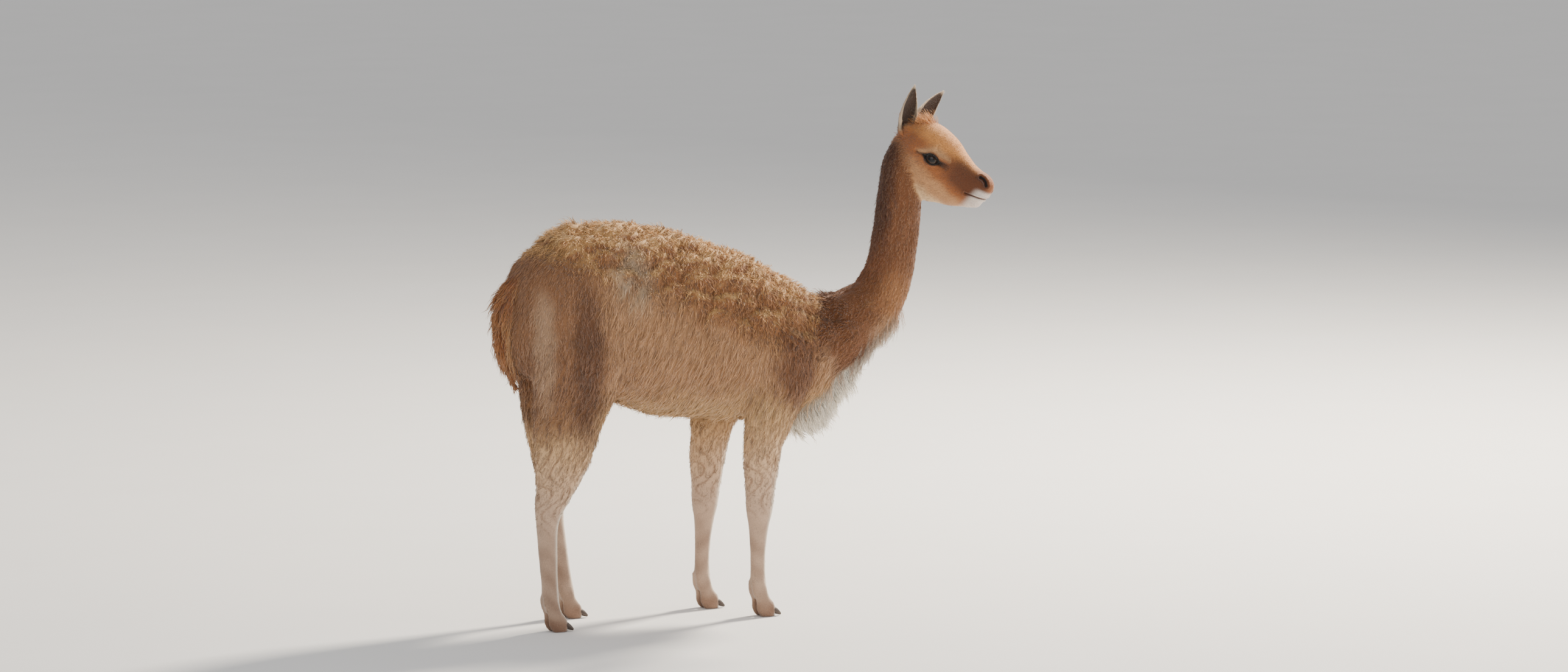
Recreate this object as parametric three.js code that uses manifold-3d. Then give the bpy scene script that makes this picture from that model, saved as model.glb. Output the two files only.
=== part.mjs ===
// A vicuna standing, life size, as a still museum model. Millimetres, x forward, y to its left, z up.
// The flesh is lofted whole from named sections, then parted into named nodes by thin cuts.
import * as THREE from "three";
import { LoftGeometry } from "three/addons/geometries/LoftGeometry.js";
import { mergeVertices } from "three/addons/utils/BufferGeometryUtils.js";
import Module from "manifold-3d";

const wasm = await Module();
wasm.setup();

// Driving dimensions
const GAP = 0.3; // left between neighbouring nodes
const RUMP_HEIGHT = 916; // the highest point of the back, fleece included
const BACK_DROP = 127; // the fall of the back from the rump to above the foreleg
const TRUNK_HALF_WIDTH = 150;
const HIND_TRACK = 80; // from the midline to a hind foot
const FORE_TRACK = 78;
const HIND_STEP = 112; // how far the left hind foot stands ahead of the right one
const FORE_STEP = -70; // the left fore foot stands behind the right one
const HEAD_YAW = -45; // degrees, turned to its right
const HEAD_PITCH = 28; // degrees, nose down
const HEAD_AT = new THREE.Vector3(633, -73, 1019); // midway between the eyes
const EYE_RADIUS = 17;
const EYE_SPACING = 88; // centre to centre
const EAR_LENGTH = 105;
const EAR_RISE_RIGHT = new THREE.Vector3(-0.16, -0.2, 0.95);
const EAR_RISE_LEFT = new THREE.Vector3(0.08, 0.56, 0.8);
const FLEECE_DEPTH = 36; // of the mantle on back and flanks; its core reaches half way
const CLUMP = { length: 112, width: 98, rise: 22, rows: 9, across: 7 };
const BIB_DEPTH = 50; // of the long hair on the chest, with a core half as deep
const BIB_LOCK = { length: 96, width: 38, thickness: 10, lift: 0.17, rows: 6, across: 5 };
const TAIL_DEPTH = 16;
const TAIL_LOCK = { length: 96, width: 36, thickness: 9, lift: 0.08, rows: 3, across: 4 };
const FETLOCK_HEIGHT = 60;
const TOE_SPREAD = 25; // centre to centre

const RIGHT = -1;
const LEFT = 1;
const Y = new THREE.Vector3(0, 1, 0);
const radians = THREE.MathUtils.degToRad;
const point = (x, y, z) => new THREE.Vector3(x, y, z);

const COLOURS = {
  fleece: 0xb98a5c,
  neck: 0xa8713f,
  face: 0xa96f3f,
  ear: 0x8a6344,
  leg: 0xd9c7ad,
  tail: 0xa8693a,
  eye: 0x14100e,
  nail: 0x2c2622,
};

// A seeded draw between -1 and 1
function draws(seed) {
  let state = seed;
  return () => {
    state = (state * 1664525 + 1013904223) % 4294967296;
    return state / 2147483648 - 1;
  };
}

// A section is an egg-shaped ring: its centre, half width, and reach above and below the centre.
function section(x, y, z, half, up, down) {
  return { centre: point(x, y, z), size: point(half, up, down) };
}

// A rounded limb through sections. On one that runs down, above means in front.
class Limb {
  constructor(sections, sides, rings) {
    this.line = new THREE.CatmullRomCurve3(sections.map((s) => s.centre), false, "catmullrom");
    this.sizes = new THREE.CatmullRomCurve3(sections.map((s) => s.size), false, "catmullrom");
    this.last = sections.length - 1;
    this.sides = sides;
    this.rings = rings;
  }

  // A point of the surface: t runs along the limb, the angle round it from its left side.
  at(t, angle) {
    const size = this.sizes.getPoint(t);
    const along = this.line.getTangent(t);
    const up = along.clone().cross(Y).normalize();
    const side = up.clone().cross(along);
    const reach = Math.sin(angle) > 0 ? size.y : size.z;
    return this.line
      .getPoint(t)
      .addScaledVector(side, Math.cos(angle) * size.x)
      .addScaledVector(up, Math.sin(angle) * reach);
  }

  normal(t, angle) {
    const step = 0.004;
    const around = this.at(t, angle + step).sub(this.at(t, angle - step));
    const along = this.at(Math.min(1, t + step), angle).sub(this.at(Math.max(0, t - step), angle));
    return around.cross(along).normalize();
  }

  // The same point once the surface is moved out by grow, or in where it is negative, but never inside out
  grown(t, angle, grow) {
    const move = Math.max(grow, -0.6 * Math.min(...this.sizes.getPoint(t)));
    const beyond = t === 0 ? -move : t === 1 ? move : 0;
    return this.at(t, angle)
      .addScaledVector(this.normal(t, angle), move)
      .addScaledVector(this.line.getTangent(t), beyond);
  }

  // A closed body. Its surface is moved out by growAt, a number or a function of t and the angle.
  solid(growAt = 0) {
    const sections = [];
    for (let i = 0; i <= this.rings; i++) {
      const ring = [];
      const t = i / this.rings;
      for (let j = 0; j < this.sides; j++) {
        const angle = (2 * Math.PI * j) / this.sides;
        ring.push(this.grown(t, angle, typeof growAt === "function" ? growAt(t, angle) : growAt));
      }
      sections.push(ring);
    }
    return solidOf(new LoftGeometry(sections, { capStart: true, capEnd: true }));
  }

  // A cut square to the limb at one of its sections
  cutAt(index, back = 0) {
    const normal = this.line.getTangent(index / this.last);
    return new Cut(this.line.getPoint(index / this.last).addScaledVector(normal, -back), normal);
  }
}

// A thin flat cut: what lies ahead of it and what lies behind it stay GAP apart.
class Cut {
  constructor(through, normal) {
    this.normal = normal.clone().normalize();
    this.offset = this.normal.dot(through);
  }

  ahead(solid) {
    return solid.trimByPlane(this.normal.toArray(), this.offset + GAP / 2);
  }

  behind(solid) {
    return solid.trimByPlane(this.normal.clone().negate().toArray(), -this.offset + GAP / 2);
  }
}

function solidOf(geometry, matrix = new THREE.Matrix4()) {
  const bare = new THREE.BufferGeometry();
  bare.setAttribute("position", geometry.getAttribute("position").clone());
  bare.setIndex(geometry.index);
  bare.applyMatrix4(matrix);
  const merged = mergeVertices(bare, 1e-4);
  const index = merged.index.array;
  return new wasm.Manifold(
    new wasm.Mesh({
      numProp: 3,
      vertProperties: merged.attributes.position.array,
      triVerts: new Uint32Array(index),
    }),
  );
}

function geometryOf(solid) {
  const mesh = solid.getMesh();
  const geometry = new THREE.BufferGeometry();
  geometry.setAttribute("position", new THREE.BufferAttribute(mesh.vertProperties, 3));
  geometry.setIndex(new THREE.BufferAttribute(mesh.triVerts, 1));
  geometry.computeVertexNormals();
  return geometry;
}

function largest(solid) {
  return solid.decompose().reduce((best, piece) => (piece.volume() > best.volume() ? piece : best));
}

function union(...solids) {
  return wasm.Manifold.union(solids);
}

function ellipsoid(centre, radii, sides = 8, rings = 6) {
  const matrix = new THREE.Matrix4().makeScale(...radii).setPosition(centre);
  return solidOf(new THREE.SphereGeometry(1, sides, rings), matrix);
}

function addNode(group, name, solid, color, roughness = 0.9) {
  const material = new THREE.MeshStandardMaterial({ color, roughness, metalness: 0 });
  const mesh = new THREE.Mesh(geometryOf(largest(solid)), material);
  mesh.name = name;
  group.add(mesh);
}

// Trunk: from the rump to the chest
const trunk = new Limb(
  [
    section(-392, 0, 700, 22, 30, 40),
    section(-380, 0, 698, 80, 96, 108),
    section(-340, 0, 695, 124, 162, 138),
    section(-280, 0, 690, 146, 210, 152),
    section(-195, 0, 688, TRUNK_HALF_WIDTH + 4, RUMP_HEIGHT - 688, 172),
    section(-100, 0, 676, TRUNK_HALF_WIDTH + 4, 230, 188),
    section(0, 0, 656, TRUNK_HALF_WIDTH + 2, 219, 202),
    section(100, 0, 634, TRUNK_HALF_WIDTH - 2, 208, 192),
    section(205, 0, 604, TRUNK_HALF_WIDTH - 12, RUMP_HEIGHT - BACK_DROP - 604, 174),
    section(290, 0, 584, 122, 164, 142),
    section(360, 0, 574, 92, 128, 108),
    section(408, 0, 570, 50, 74, 62),
    section(424, 0, 570, 14, 24, 22),
  ],
  20,
  24,
);

// Neck: from inside the chest up to inside the back of the head
const neck = new Limb(
  [
    section(300, 0, 596, 104, 116, 118),
    section(382, 0, 616, 92, 96, 112),
    section(446, -1, 648, 80, 82, 92),
    section(500, -4, 685, 67, 72, 77),
    section(530, -9, 733, 58, 64, 68),
    section(544, -15, 786, 54, 61, 64),
    section(551, -21, 840, 52, 60, 62),
    section(556, -27, 895, 51, 60, 61),
    section(560, -32, 950, 50, 60, 57),
    section(568, -35, 1004, 48, 60, 50),
    section(584, -36, 1048, 42, 50, 42),
  ],
  16,
  20,
);

// Long white hair of the chest, from the throat down to between the forelegs
const bib = new Limb(
  [
    section(505, -2, 660, 34, 34, 40),
    section(458, 0, 603, 58, 48, 60),
    section(412, 0, 546, 66, 50, 60),
    section(366, 0, 494, 64, 56, 60),
    section(322, 0, 452, 52, 60, 50),
    section(288, 0, 420, 28, 40, 36),
  ],
  12,
  10,
);

// Tail: hangs down the midline of the rump
const tail = new Limb(
  [
    section(-322, 0, 800, 24, 26, 24),
    section(-372, 0, 776, 30, 28, 27),
    section(-399, 0, 732, 36, 28, 28),
    section(-405, 0, 682, 39, 28, 27),
    section(-399, 0, 632, 39, 26, 26),
    section(-389, 0, 586, 32, 22, 22),
    section(-380, 0, 550, 16, 12, 12),
    section(-377, 0, 534, 4, 4, 4),
  ],
  10,
  12,
);

// How much of the fleece's mantle covers a place of the trunk: 1 on back and upper flanks, 0 below
function mantle(t, angle) {
  const height = Math.sin(angle);
  const ends = THREE.MathUtils.smoothstep(t, 0.1, 0.18) * (1 - THREE.MathUtils.smoothstep(t, 0.84, 0.92));
  return THREE.MathUtils.smoothstep(height, -0.2, 0.1) * ends;
}

// Rounded clumps set close in staggered rows over the mantle, each longer along the lie of the wool
function fleeceClumps() {
  const draw = draws(11);
  const clumps = [];
  for (let row = 0; row < CLUMP.rows; row++) {
    for (let i = 0; i < CLUMP.across; i++) {
      const t = THREE.MathUtils.lerp(0.15, 0.85, (row + 0.5 + 0.18 * draw()) / CLUMP.rows);
      const share = (i + (row % 2 ? 0.25 : 0.75) + 0.15 * draw()) / CLUMP.across;
      const angle = radians(THREE.MathUtils.lerp(-4, 184, share));
      const out = trunk.normal(t, angle);
      const lie = point(-0.5, 0, -0.86 + 0.4 * draw()).projectOnPlane(out).normalize();
      const basis = new THREE.Matrix4().makeBasis(lie, out, lie.clone().cross(out));
      const size = 1 + 0.14 * draw();
      basis.scale(point(CLUMP.length, 2 * CLUMP.rise, CLUMP.width).multiplyScalar(size / 2));
      basis.setPosition(trunk.grown(t, angle, FLEECE_DEPTH / -2));
      clumps.push(solidOf(new THREE.SphereGeometry(1, 6, 4), basis));
    }
  }
  return clumps;
}

// A flat, tapered lock: it leaves the surface slantwise and bends over into the lie.
function lock(root, out, lie, { length, width, thickness, lift }) {
  const place = (outShare, lieShare) =>
    root.clone().addScaledVector(out, outShare * length).addScaledVector(lie, lieShare * length);
  const path = new THREE.CatmullRomCurve3([
    place(-0.12, 0),
    place(0.6 * lift, 0.22),
    place(lift, 0.6),
    place(0.7 * lift, 1),
  ]);
  const taper = [0.75, 1, 0.85, 0.12];
  const sections = taper.map((share, i) => {
    const t = i / (taper.length - 1);
    const along = path.getTangent(t);
    const across = along.clone().cross(out).normalize().multiplyScalar((width * share) / 2);
    const ridge = across.clone().cross(along).normalize().multiplyScalar(thickness * share);
    const at = path.getPoint(t);
    return [at.clone().sub(across), at.clone().add(ridge), at.clone().add(across)];
  });
  return solidOf(new LoftGeometry(sections, { capStart: true, capEnd: true }));
}

// Locks in staggered rows on a limb, between two shares of its length and two angles in degrees
function locksOn(limb, depth, sizes, seed, [tFrom, tTo], [from, to], lieOf) {
  const draw = draws(seed);
  const locks = [];
  for (let row = 0; row < sizes.rows; row++) {
    for (let i = 0; i < sizes.across; i++) {
      const t = THREE.MathUtils.lerp(tFrom, tTo, (row + 0.5 + 0.2 * draw()) / sizes.rows);
      const share = (i + (row % 2 ? 0.3 : 0.7) + 0.15 * draw()) / sizes.across;
      const angle = radians(THREE.MathUtils.lerp(from, to, share));
      const out = limb.normal(t, angle);
      const lie = lieOf(t).add(point(0, 0.18 * draw(), 0)).projectOnPlane(out).normalize();
      const size = 1 + 0.15 * draw();
      const grown = { ...sizes, length: sizes.length * size, width: sizes.width * size };
      locks.push(lock(limb.grown(t, angle, depth / -2), out, lie, grown));
    }
  }
  return locks;
}

// The left leg of a pair stands ahead of the right one by step, or behind it, less so higher up.
function pairLeg(side, step, fade, top, track, sections) {
  const set = sections.map(([x, out, z, half, front, back]) => {
    const ahead = side === LEFT ? step * Math.pow(Math.max(0, 1 - z / top), fade) : 0;
    return section(x + ahead, side * (track + out), z, half, front, back);
  });
  return new Limb(set, 12, 17);
}

function hindLeg(side) {
  return pairLeg(side, HIND_STEP, 0.8, 760, HIND_TRACK, [
    [-232, -24, 760, 46, 84, 90],
    [-242, 0, 690, 58, 112, 116],
    [-248, 12, 620, 68, 128, 128],
    [-256, 13, 555, 60, 94, 122],
    [-275, 12, 490, 50, 79, 102],
    [-290, 10, 430, 42, 73, 84],
    [-301, 8, 375, 36, 66, 70],
    [-315, 5, 320, 31, 50, 53],
    [-329, 3, 280, 28, 41, 41],
    [-334, 1, 235, 25, 31, 31],
    [-332, 0, 165, 22, 28, 27],
    [-328, 0, 105, 21, 25, 25],
    [-325, 0, 70, 23, 23, 25],
    [-322, 0, 44, 20, 21, 21],
  ]);
}

function foreLeg(side) {
  return pairLeg(side, FORE_STEP, 0.25, 690, FORE_TRACK, [
    [232, -22, 670, 40, 62, 66],
    [236, 2, 610, 52, 82, 82],
    [226, 12, 530, 54, 78, 80],
    [208, 10, 460, 44, 62, 66],
    [194, 6, 395, 36, 51, 51],
    [189, 4, 345, 32, 47, 47],
    [186, 2, 285, 30, 41, 40],
    [184, 1, 240, 29, 38, 36],
    [183, 0, 205, 24, 31, 29],
    [182, 0, 155, 20, 25, 25],
    [182, 0, 105, 20, 23, 24],
    [184, 0, 70, 22, 22, 24],
    [187, 0, 44, 19, 20, 20],
  ]);
}

// Foot: two toes that stand on the floor, each with a nail on its tip
function foot(limb, name, side) {
  const last = limb.last;
  const fetlock = limb.line.getPoint((last - 1) / last);
  const ankle = new Cut(point(fetlock.x, fetlock.y, FETLOCK_HEIGHT - 4), point(0.5, 0, -0.87));
  const floor = new Cut(point(0, 0, GAP / -2), point(0, 0, 1));
  const midline = new Cut(fetlock, Y);
  const nodes = {};
  for (const [toeSide, label] of [[side, "outer"], [-side, "inner"]]) {
    const y = fetlock.y + (toeSide * TOE_SPREAD) / 2;
    const toe = new Limb(
      [
        section(fetlock.x - 6, y, 84, 11, 18, 20),
        section(fetlock.x - 2, y, 62, 12, 21, 22),
        section(fetlock.x + 4, y, 42, 12.5, 20, 20),
        section(fetlock.x + 12, y, 24, 13, 22, 22),
        section(fetlock.x + 24, y, 11, 12, 20, 24),
        section(fetlock.x + 33, y, 9, 7, 12, 12),
      ],
      8,
      6,
    );
    const nail = new Limb(
      [
        section(fetlock.x + 14, y, 22, 7, 6, 6),
        section(fetlock.x + 30, y, 14, 7.5, 7, 7),
        section(fetlock.x + 40, y, 8, 6, 6, 5),
        section(fetlock.x + 48, y, 3.5, 3, 3, 2.5),
      ],
      6,
      4,
    );
    const half = (solid) => (toeSide === LEFT ? midline.ahead(solid) : midline.behind(solid));
    nodes[`${name}_toe_${label}`] = half(floor.ahead(ankle.ahead(toe.solid())));
    nodes[`${name}_nail_${label}`] = floor.ahead(nail.solid().subtract(toe.solid(GAP)));
  }
  return { ankle, nodes };
}

// Legs: each is parted from the trunk and crosswise into lengths
const legs = [];
for (const [side, hand] of [[RIGHT, "right"], [LEFT, "left"]]) {
  legs.push({ name: `hindleg_${hand}`, limb: hindLeg(side), side, cuts: [3, 8] });
  legs.push({ name: `foreleg_${hand}`, limb: foreLeg(side), side, cuts: [3, 7] });
}

const vicuna = new THREE.Group();
const core = trunk.solid((t, angle) => (mantle(t, angle) * FLEECE_DEPTH) / -2);
const bibLocks = locksOn(bib, BIB_DEPTH, BIB_LOCK, 23, [0.06, 0.87], [-8, 188], () => point(0.1, 0, -1));
const body = [core, neck.solid(), bib.solid(BIB_DEPTH / -2), ...fleeceClumps(), ...bibLocks];
const sockets = [];

for (const { name, limb, side, cuts } of legs) {
  const [hip, joint] = cuts.map((index) => limb.cutAt(index));
  const solid = limb.solid();
  const { ankle, nodes } = foot(limb, name, side);
  body.push(hip.behind(solid));
  sockets.push(limb.cutAt(cuts[0], GAP).ahead(limb.solid(GAP)));
  addNode(vicuna, `${name}_upper`, joint.behind(hip.ahead(solid)), COLOURS.leg);
  addNode(vicuna, `${name}_cannon`, ankle.behind(joint.ahead(solid)), COLOURS.leg);
  for (const [node, part] of Object.entries(nodes)) {
    addNode(vicuna, node, part, node.includes("nail") ? COLOURS.nail : COLOURS.leg);
  }
}

// Head, in its own frame: x along the head to the nose, origin midway between the eyes
const skull = new Limb(
  [
    section(-106, 0, 0, 14, 16, 20),
    section(-94, 0, 0, 40, 42, 62),
    section(-62, 0, -2, 56, 64, 92),
    section(-25, 0, -2, 60, 70, 99),
    section(12, 0, -3, 57, 63, 102),
    section(45, 0, -8, 47, 55, 96),
    section(75, 0, -14, 38, 50, 76),
    section(103, 0, -16, 33, 42, 56),
    section(124, 0, -18, 29, 36, 43),
    section(138, 0, -20, 23, 28, 30),
    section(146, 0, -22, 12, 14, 14),
  ],
  14,
  16,
);

function eyeCentre(side) {
  return point(0, (side * EYE_SPACING) / 2, 0);
}

// Looks out and a little forward
function gaze(side) {
  return point(0.28, side, 0.08).normalize();
}

function eyeOpening(side) {
  const almond = new THREE.Shape();
  almond.moveTo(-16, -2);
  almond.quadraticCurveTo(1, 22, 16, 2);
  almond.quadraticCurveTo(-1, -19, -16, -2);
  const options = { depth: 2 * EYE_RADIUS, bevelEnabled: false, curveSegments: 4 };
  const prism = new THREE.ExtrudeGeometry(almond, options);
  const outward = gaze(side);
  const across = point(outward.y, -outward.x, 0).normalize().multiplyScalar(side);
  const basis = new THREE.Matrix4().makeBasis(across, outward.clone().cross(across), outward);
  return solidOf(prism, basis.setPosition(eyeCentre(side)));
}

// A groove of the given depth where a slab of the given thickness meets the muzzle
function groove(slabSize, place, depth) {
  const slab = solidOf(new THREE.BoxGeometry(...slabSize), place);
  return slab.subtract(skull.solid(-depth));
}

function carvedHead() {
  const upperLip = ellipsoid(point(127, 0, -14), [19, 25, 20]);
  const lowerLip = ellipsoid(point(123, 0, -44), [17, 20, 15]);
  const brows = [RIGHT, LEFT].map((side) => ellipsoid(point(-2, side * 40, 20), [27, 19, 13]));
  const lids = [RIGHT, LEFT].map((side) => ellipsoid(eyeCentre(side), [21.5, 20.5, 20]));
  let solid = union(skull.solid(), upperLip, lowerLip, ...brows, ...lids);
  const mouth = new THREE.Matrix4().makeRotationY(radians(-6)).setPosition(125, 0, -31.5);
  const cleft = new THREE.Matrix4().setPosition(150, 0, -16);
  solid = solid.subtract(groove([56, 90, 1.6], mouth, 3)).subtract(groove([24, 1.6, 28], cleft, 3));
  for (const side of [RIGHT, LEFT]) {
    const nostril = ellipsoid(point(131, side * 19, -2), [10, 7, 3.5], 6, 4);
    solid = solid.subtract(ellipsoid(eyeCentre(side), Array(3).fill(EYE_RADIUS + GAP + 0.1), 12, 9));
    solid = solid.subtract(eyeOpening(side)).subtract(nostril);
  }
  return solid;
}

// Each ear opens outwards and a little forward. Rows are the share of its length, half width, half depth.
function ear(side) {
  const base = point(-92, side * 38, 28);
  const rise = (side === RIGHT ? EAR_RISE_RIGHT : EAR_RISE_LEFT).clone().normalize();
  rise.multiplyScalar(EAR_LENGTH);
  const profile = [
    [-0.1, 15, 11],
    [0.08, 20, 14],
    [0.3, 23, 14],
    [0.55, 20, 12],
    [0.8, 12, 8],
    [0.94, 5, 4],
    [1, 1.5, 1.5],
  ];
  const shell = profile.map(([s, half, depth]) => {
    const c = base.clone().addScaledVector(rise, s);
    return section(c.x, c.y, c.z, depth, half, half);
  });
  const cup = profile.slice(1, -1).map(([s, half, depth]) => {
    const c = base.clone().addScaledVector(rise, s * 0.94 + 0.06);
    return section(c.x + 2, c.y + side * depth * 0.7, c.z, depth, half - 4, half - 4);
  });
  const hollow = new Limb(cup, 8, 6).solid();
  return new Limb(shell, 10, 8).solid().subtract(hollow).subtract(skull.solid(GAP));
}

const headGroup = new THREE.Group();
headGroup.position.copy(HEAD_AT);
headGroup.rotation.set(0, radians(HEAD_PITCH), radians(HEAD_YAW), "ZYX");
headGroup.updateMatrixWorld(true);
const toHead = headGroup.matrixWorld.clone().invert().toArray();
vicuna.add(headGroup);

// Cuts of the neck: at the shoulders, twice across it, and behind the jaw
const shoulderCut = new Cut(point(408, 0, 652), point(0.72, 0, 0.69));
const lowerCut = neck.cutAt(5);
const upperCut = neck.cutAt(7);
const headCut = new Cut(point(558, -36, 968), point(0.81, -0.15, 0.567));

const whole = union(...body);
const throat = upperCut.ahead(neck.solid());
let torso = shoulderCut.behind(whole);
for (const socket of sockets) {
  torso = torso.subtract(socket);
}
const tailRoot = union(trunk.solid(GAP), ...legs.map(({ limb }) => limb.solid(GAP)));
addNode(vicuna, "torso", torso, COLOURS.fleece);
const tailLocks = locksOn(tail, TAIL_DEPTH, TAIL_LOCK, 37, [0.3, 0.86], [165, 375], () => point(0, 0, -1));
const tailSolid = union(tail.solid(TAIL_DEPTH / -2), ...tailLocks).subtract(tailRoot);
addNode(vicuna, "tail", tailSolid, COLOURS.tail);
addNode(vicuna, "neck_lower", lowerCut.behind(shoulderCut.ahead(whole)), COLOURS.neck);
addNode(vicuna, "neck_middle", upperCut.behind(lowerCut.ahead(neck.solid())), COLOURS.neck);
addNode(vicuna, "neck_upper", headCut.behind(throat), COLOURS.neck);

const headInPlace = carvedHead().transform(headGroup.matrixWorld.toArray());
const headSolid = headCut.ahead(union(headInPlace, throat)).transform(toHead);
addNode(headGroup, "head", headSolid, COLOURS.face);
for (const [side, hand] of [[RIGHT, "right"], [LEFT, "left"]]) {
  addNode(headGroup, `ear_${hand}`, ear(side), COLOURS.ear);
  const ball = ellipsoid(eyeCentre(side), Array(3).fill(EYE_RADIUS), 12, 9);
  addNode(headGroup, `eye_${hand}`, ball, COLOURS.eye, 0.1);
}

// The origin is on the floor under the middle of the whole animal
const box = new THREE.Box3().setFromObject(vicuna, true);
vicuna.position.set((box.min.x + box.max.x) / -2, (box.min.y + box.max.y) / -2, 0);

export default vicuna;
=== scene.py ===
"""A life-size vicuna: one seamless skin, a coat of solid tufts over it, and eyes, ears and nails."""
import math

import bmesh
import bpy
import numpy as np
from mathutils import Euler, Matrix, Vector
from mathutils.kdtree import KDTree


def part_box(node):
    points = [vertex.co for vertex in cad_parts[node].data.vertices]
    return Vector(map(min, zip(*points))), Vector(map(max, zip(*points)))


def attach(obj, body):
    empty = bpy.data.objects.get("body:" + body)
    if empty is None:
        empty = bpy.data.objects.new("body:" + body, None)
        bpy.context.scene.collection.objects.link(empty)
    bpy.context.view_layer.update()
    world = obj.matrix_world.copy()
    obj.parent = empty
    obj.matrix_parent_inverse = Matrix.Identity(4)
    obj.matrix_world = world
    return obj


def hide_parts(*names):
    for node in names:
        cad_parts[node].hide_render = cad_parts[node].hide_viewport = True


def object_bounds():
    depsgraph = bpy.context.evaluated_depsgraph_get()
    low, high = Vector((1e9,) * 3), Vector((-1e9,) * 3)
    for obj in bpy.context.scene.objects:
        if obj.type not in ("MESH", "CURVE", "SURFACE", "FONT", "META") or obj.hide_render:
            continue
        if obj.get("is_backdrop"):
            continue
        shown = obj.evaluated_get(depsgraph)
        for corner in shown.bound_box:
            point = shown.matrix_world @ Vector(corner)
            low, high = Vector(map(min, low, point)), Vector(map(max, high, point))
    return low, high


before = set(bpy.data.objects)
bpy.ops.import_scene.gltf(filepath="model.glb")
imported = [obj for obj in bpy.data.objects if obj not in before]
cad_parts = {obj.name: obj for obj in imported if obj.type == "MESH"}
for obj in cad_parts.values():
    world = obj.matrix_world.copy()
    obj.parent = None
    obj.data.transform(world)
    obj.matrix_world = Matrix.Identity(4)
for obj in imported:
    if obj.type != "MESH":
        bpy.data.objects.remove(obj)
cad_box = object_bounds()

# Sizes in the design frame: millimetres and degrees, x forward, y to the animal's left, z up
HEAD_AT = np.array([633.0, -73.0, 1019.0])
HEAD_YAW = -45.0
HEAD_PITCH = 28.0
EYE_RADIUS = 17.0
EYE_SPACING = 88.0
# Almond between the lids: half its length, reach of each lid, and fall from back to front
LID_HALF = 20.0
LID_UP = 10.8
LID_DOWN = 8.6
LID_FALL = -0.05
LASHES = 70
EAR_LENGTH = 105.0
EAR_RISE = {"right": (-0.16, -0.20, 0.95), "left": (0.08, 0.56, 0.80)}
EAR_BASE = (-92.0, 38.0, 28.0)
EAR_OPENING = {"right": (0.92, -0.40, 0.0), "left": (0.85, -0.45, 0.2)}
EAR_FOOT = -0.14
# Shares of the ear's length, half widths and depths of its cup
EAR_PROFILE = (
    [EAR_FOOT, 0.08, 0.3, 0.55, 0.8, 0.94, 1.0],
    [14.0, 21.0, 25.0, 21.5, 12.5, 5.0, 1.6],
    [11.0, 14.0, 15.0, 12.0, 7.0, 3.5, 1.4],
)
# Rounded forms joined to the skull, by centre and half sizes: nose and chin, then brow, socket and ear root
NOSE_AND_CHIN = (((127, 0, -12), (19, 25, 20)), ((123, 0, -44), (17, 20, 16)))
PAIRED_FORMS = (((-2, 39, 18), (28, 17, 13)), ((0, 43, 0), (25, 17, 20)), ((-90, 36, 24), (20, 14, 16)))
HIND_STEP = 112.0
FORE_STEP = -70.0
HIND_TRACK = 80.0
FORE_TRACK = 78.0
TOE_SPREAD = 25.0
SKIN_GROUND = 0.6
HAIR_GROUND = 0.3
# Lower edge of the long fleece: stations along the back and heights
EDGE_X = (-400, -300, -200, -100, 0, 100, 200, 260, 330, 420)
EDGE_Z = (840, 840, 795, 755, 712, 662, 622, 602, 602, 640)
SIDES = {"right": -1, "left": 1}

# Share of a form's cell in the atlas that is left free, share that is used, and size of a tuft's patch
CELL_EDGE = 0.03
CELL_SPAN = 0.94
TUFT_PATCH = 0.003
MOST_TRIANGLES = 200000
# Painted shade: share of the coat's colour kept on the skin under long hair
UNDERCOAT_SHADE = 0.58

# In the scene, in metres and degrees: grain of the skin's mesh, half the floor's width, and the camera
VOXEL = 0.004
FLOOR = 400.0
CAMERA_AZIMUTH = -25.0
CAMERA_ELEVATION = 7.0
CAMERA_DISTANCE = 16.0
PIXELS_PER_METRE = 733.0
AIM = (188 / PIXELS_PER_METRE, 99 / PIXELS_PER_METRE)
PHOTO_WIDTH = 2576
SENSOR = 36.0

# Coat depth taken off each form to find the skin, in millimetres
DEPTH = {"trunk": 8.0, "mantle": 13.0, "neck": 9.0, "bib": 17.0, "tail": 13.0, "leg": 5.0, "head": 1.4}

HEAD_TURN = np.array(Euler((0, math.radians(HEAD_PITCH), math.radians(HEAD_YAW)), "XYZ").to_matrix())


def head_to_body(points):
    """From the head's frame to the design frame, both in millimetres."""
    return np.asarray(points) @ HEAD_TURN.T + HEAD_AT


def body_to_head(points):
    return (np.asarray(points) - HEAD_AT) @ HEAD_TURN


eye_box = np.array(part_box("eye_right"))
eye_design = head_to_body([0, -EYE_SPACING / 2, 0])
SHIFT = eye_box.mean(axis=0) - eye_design / 1000


def to_scene(points):
    return np.asarray(points) / 1000 + SHIFT


def smooth(low, high, value):
    s = np.clip((value - low) / (high - low), 0, 1)
    return s * s * (3 - 2 * s)


def unit(vectors):
    return vectors / np.maximum(np.linalg.norm(vectors, axis=-1, keepdims=True), 1e-9)


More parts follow.
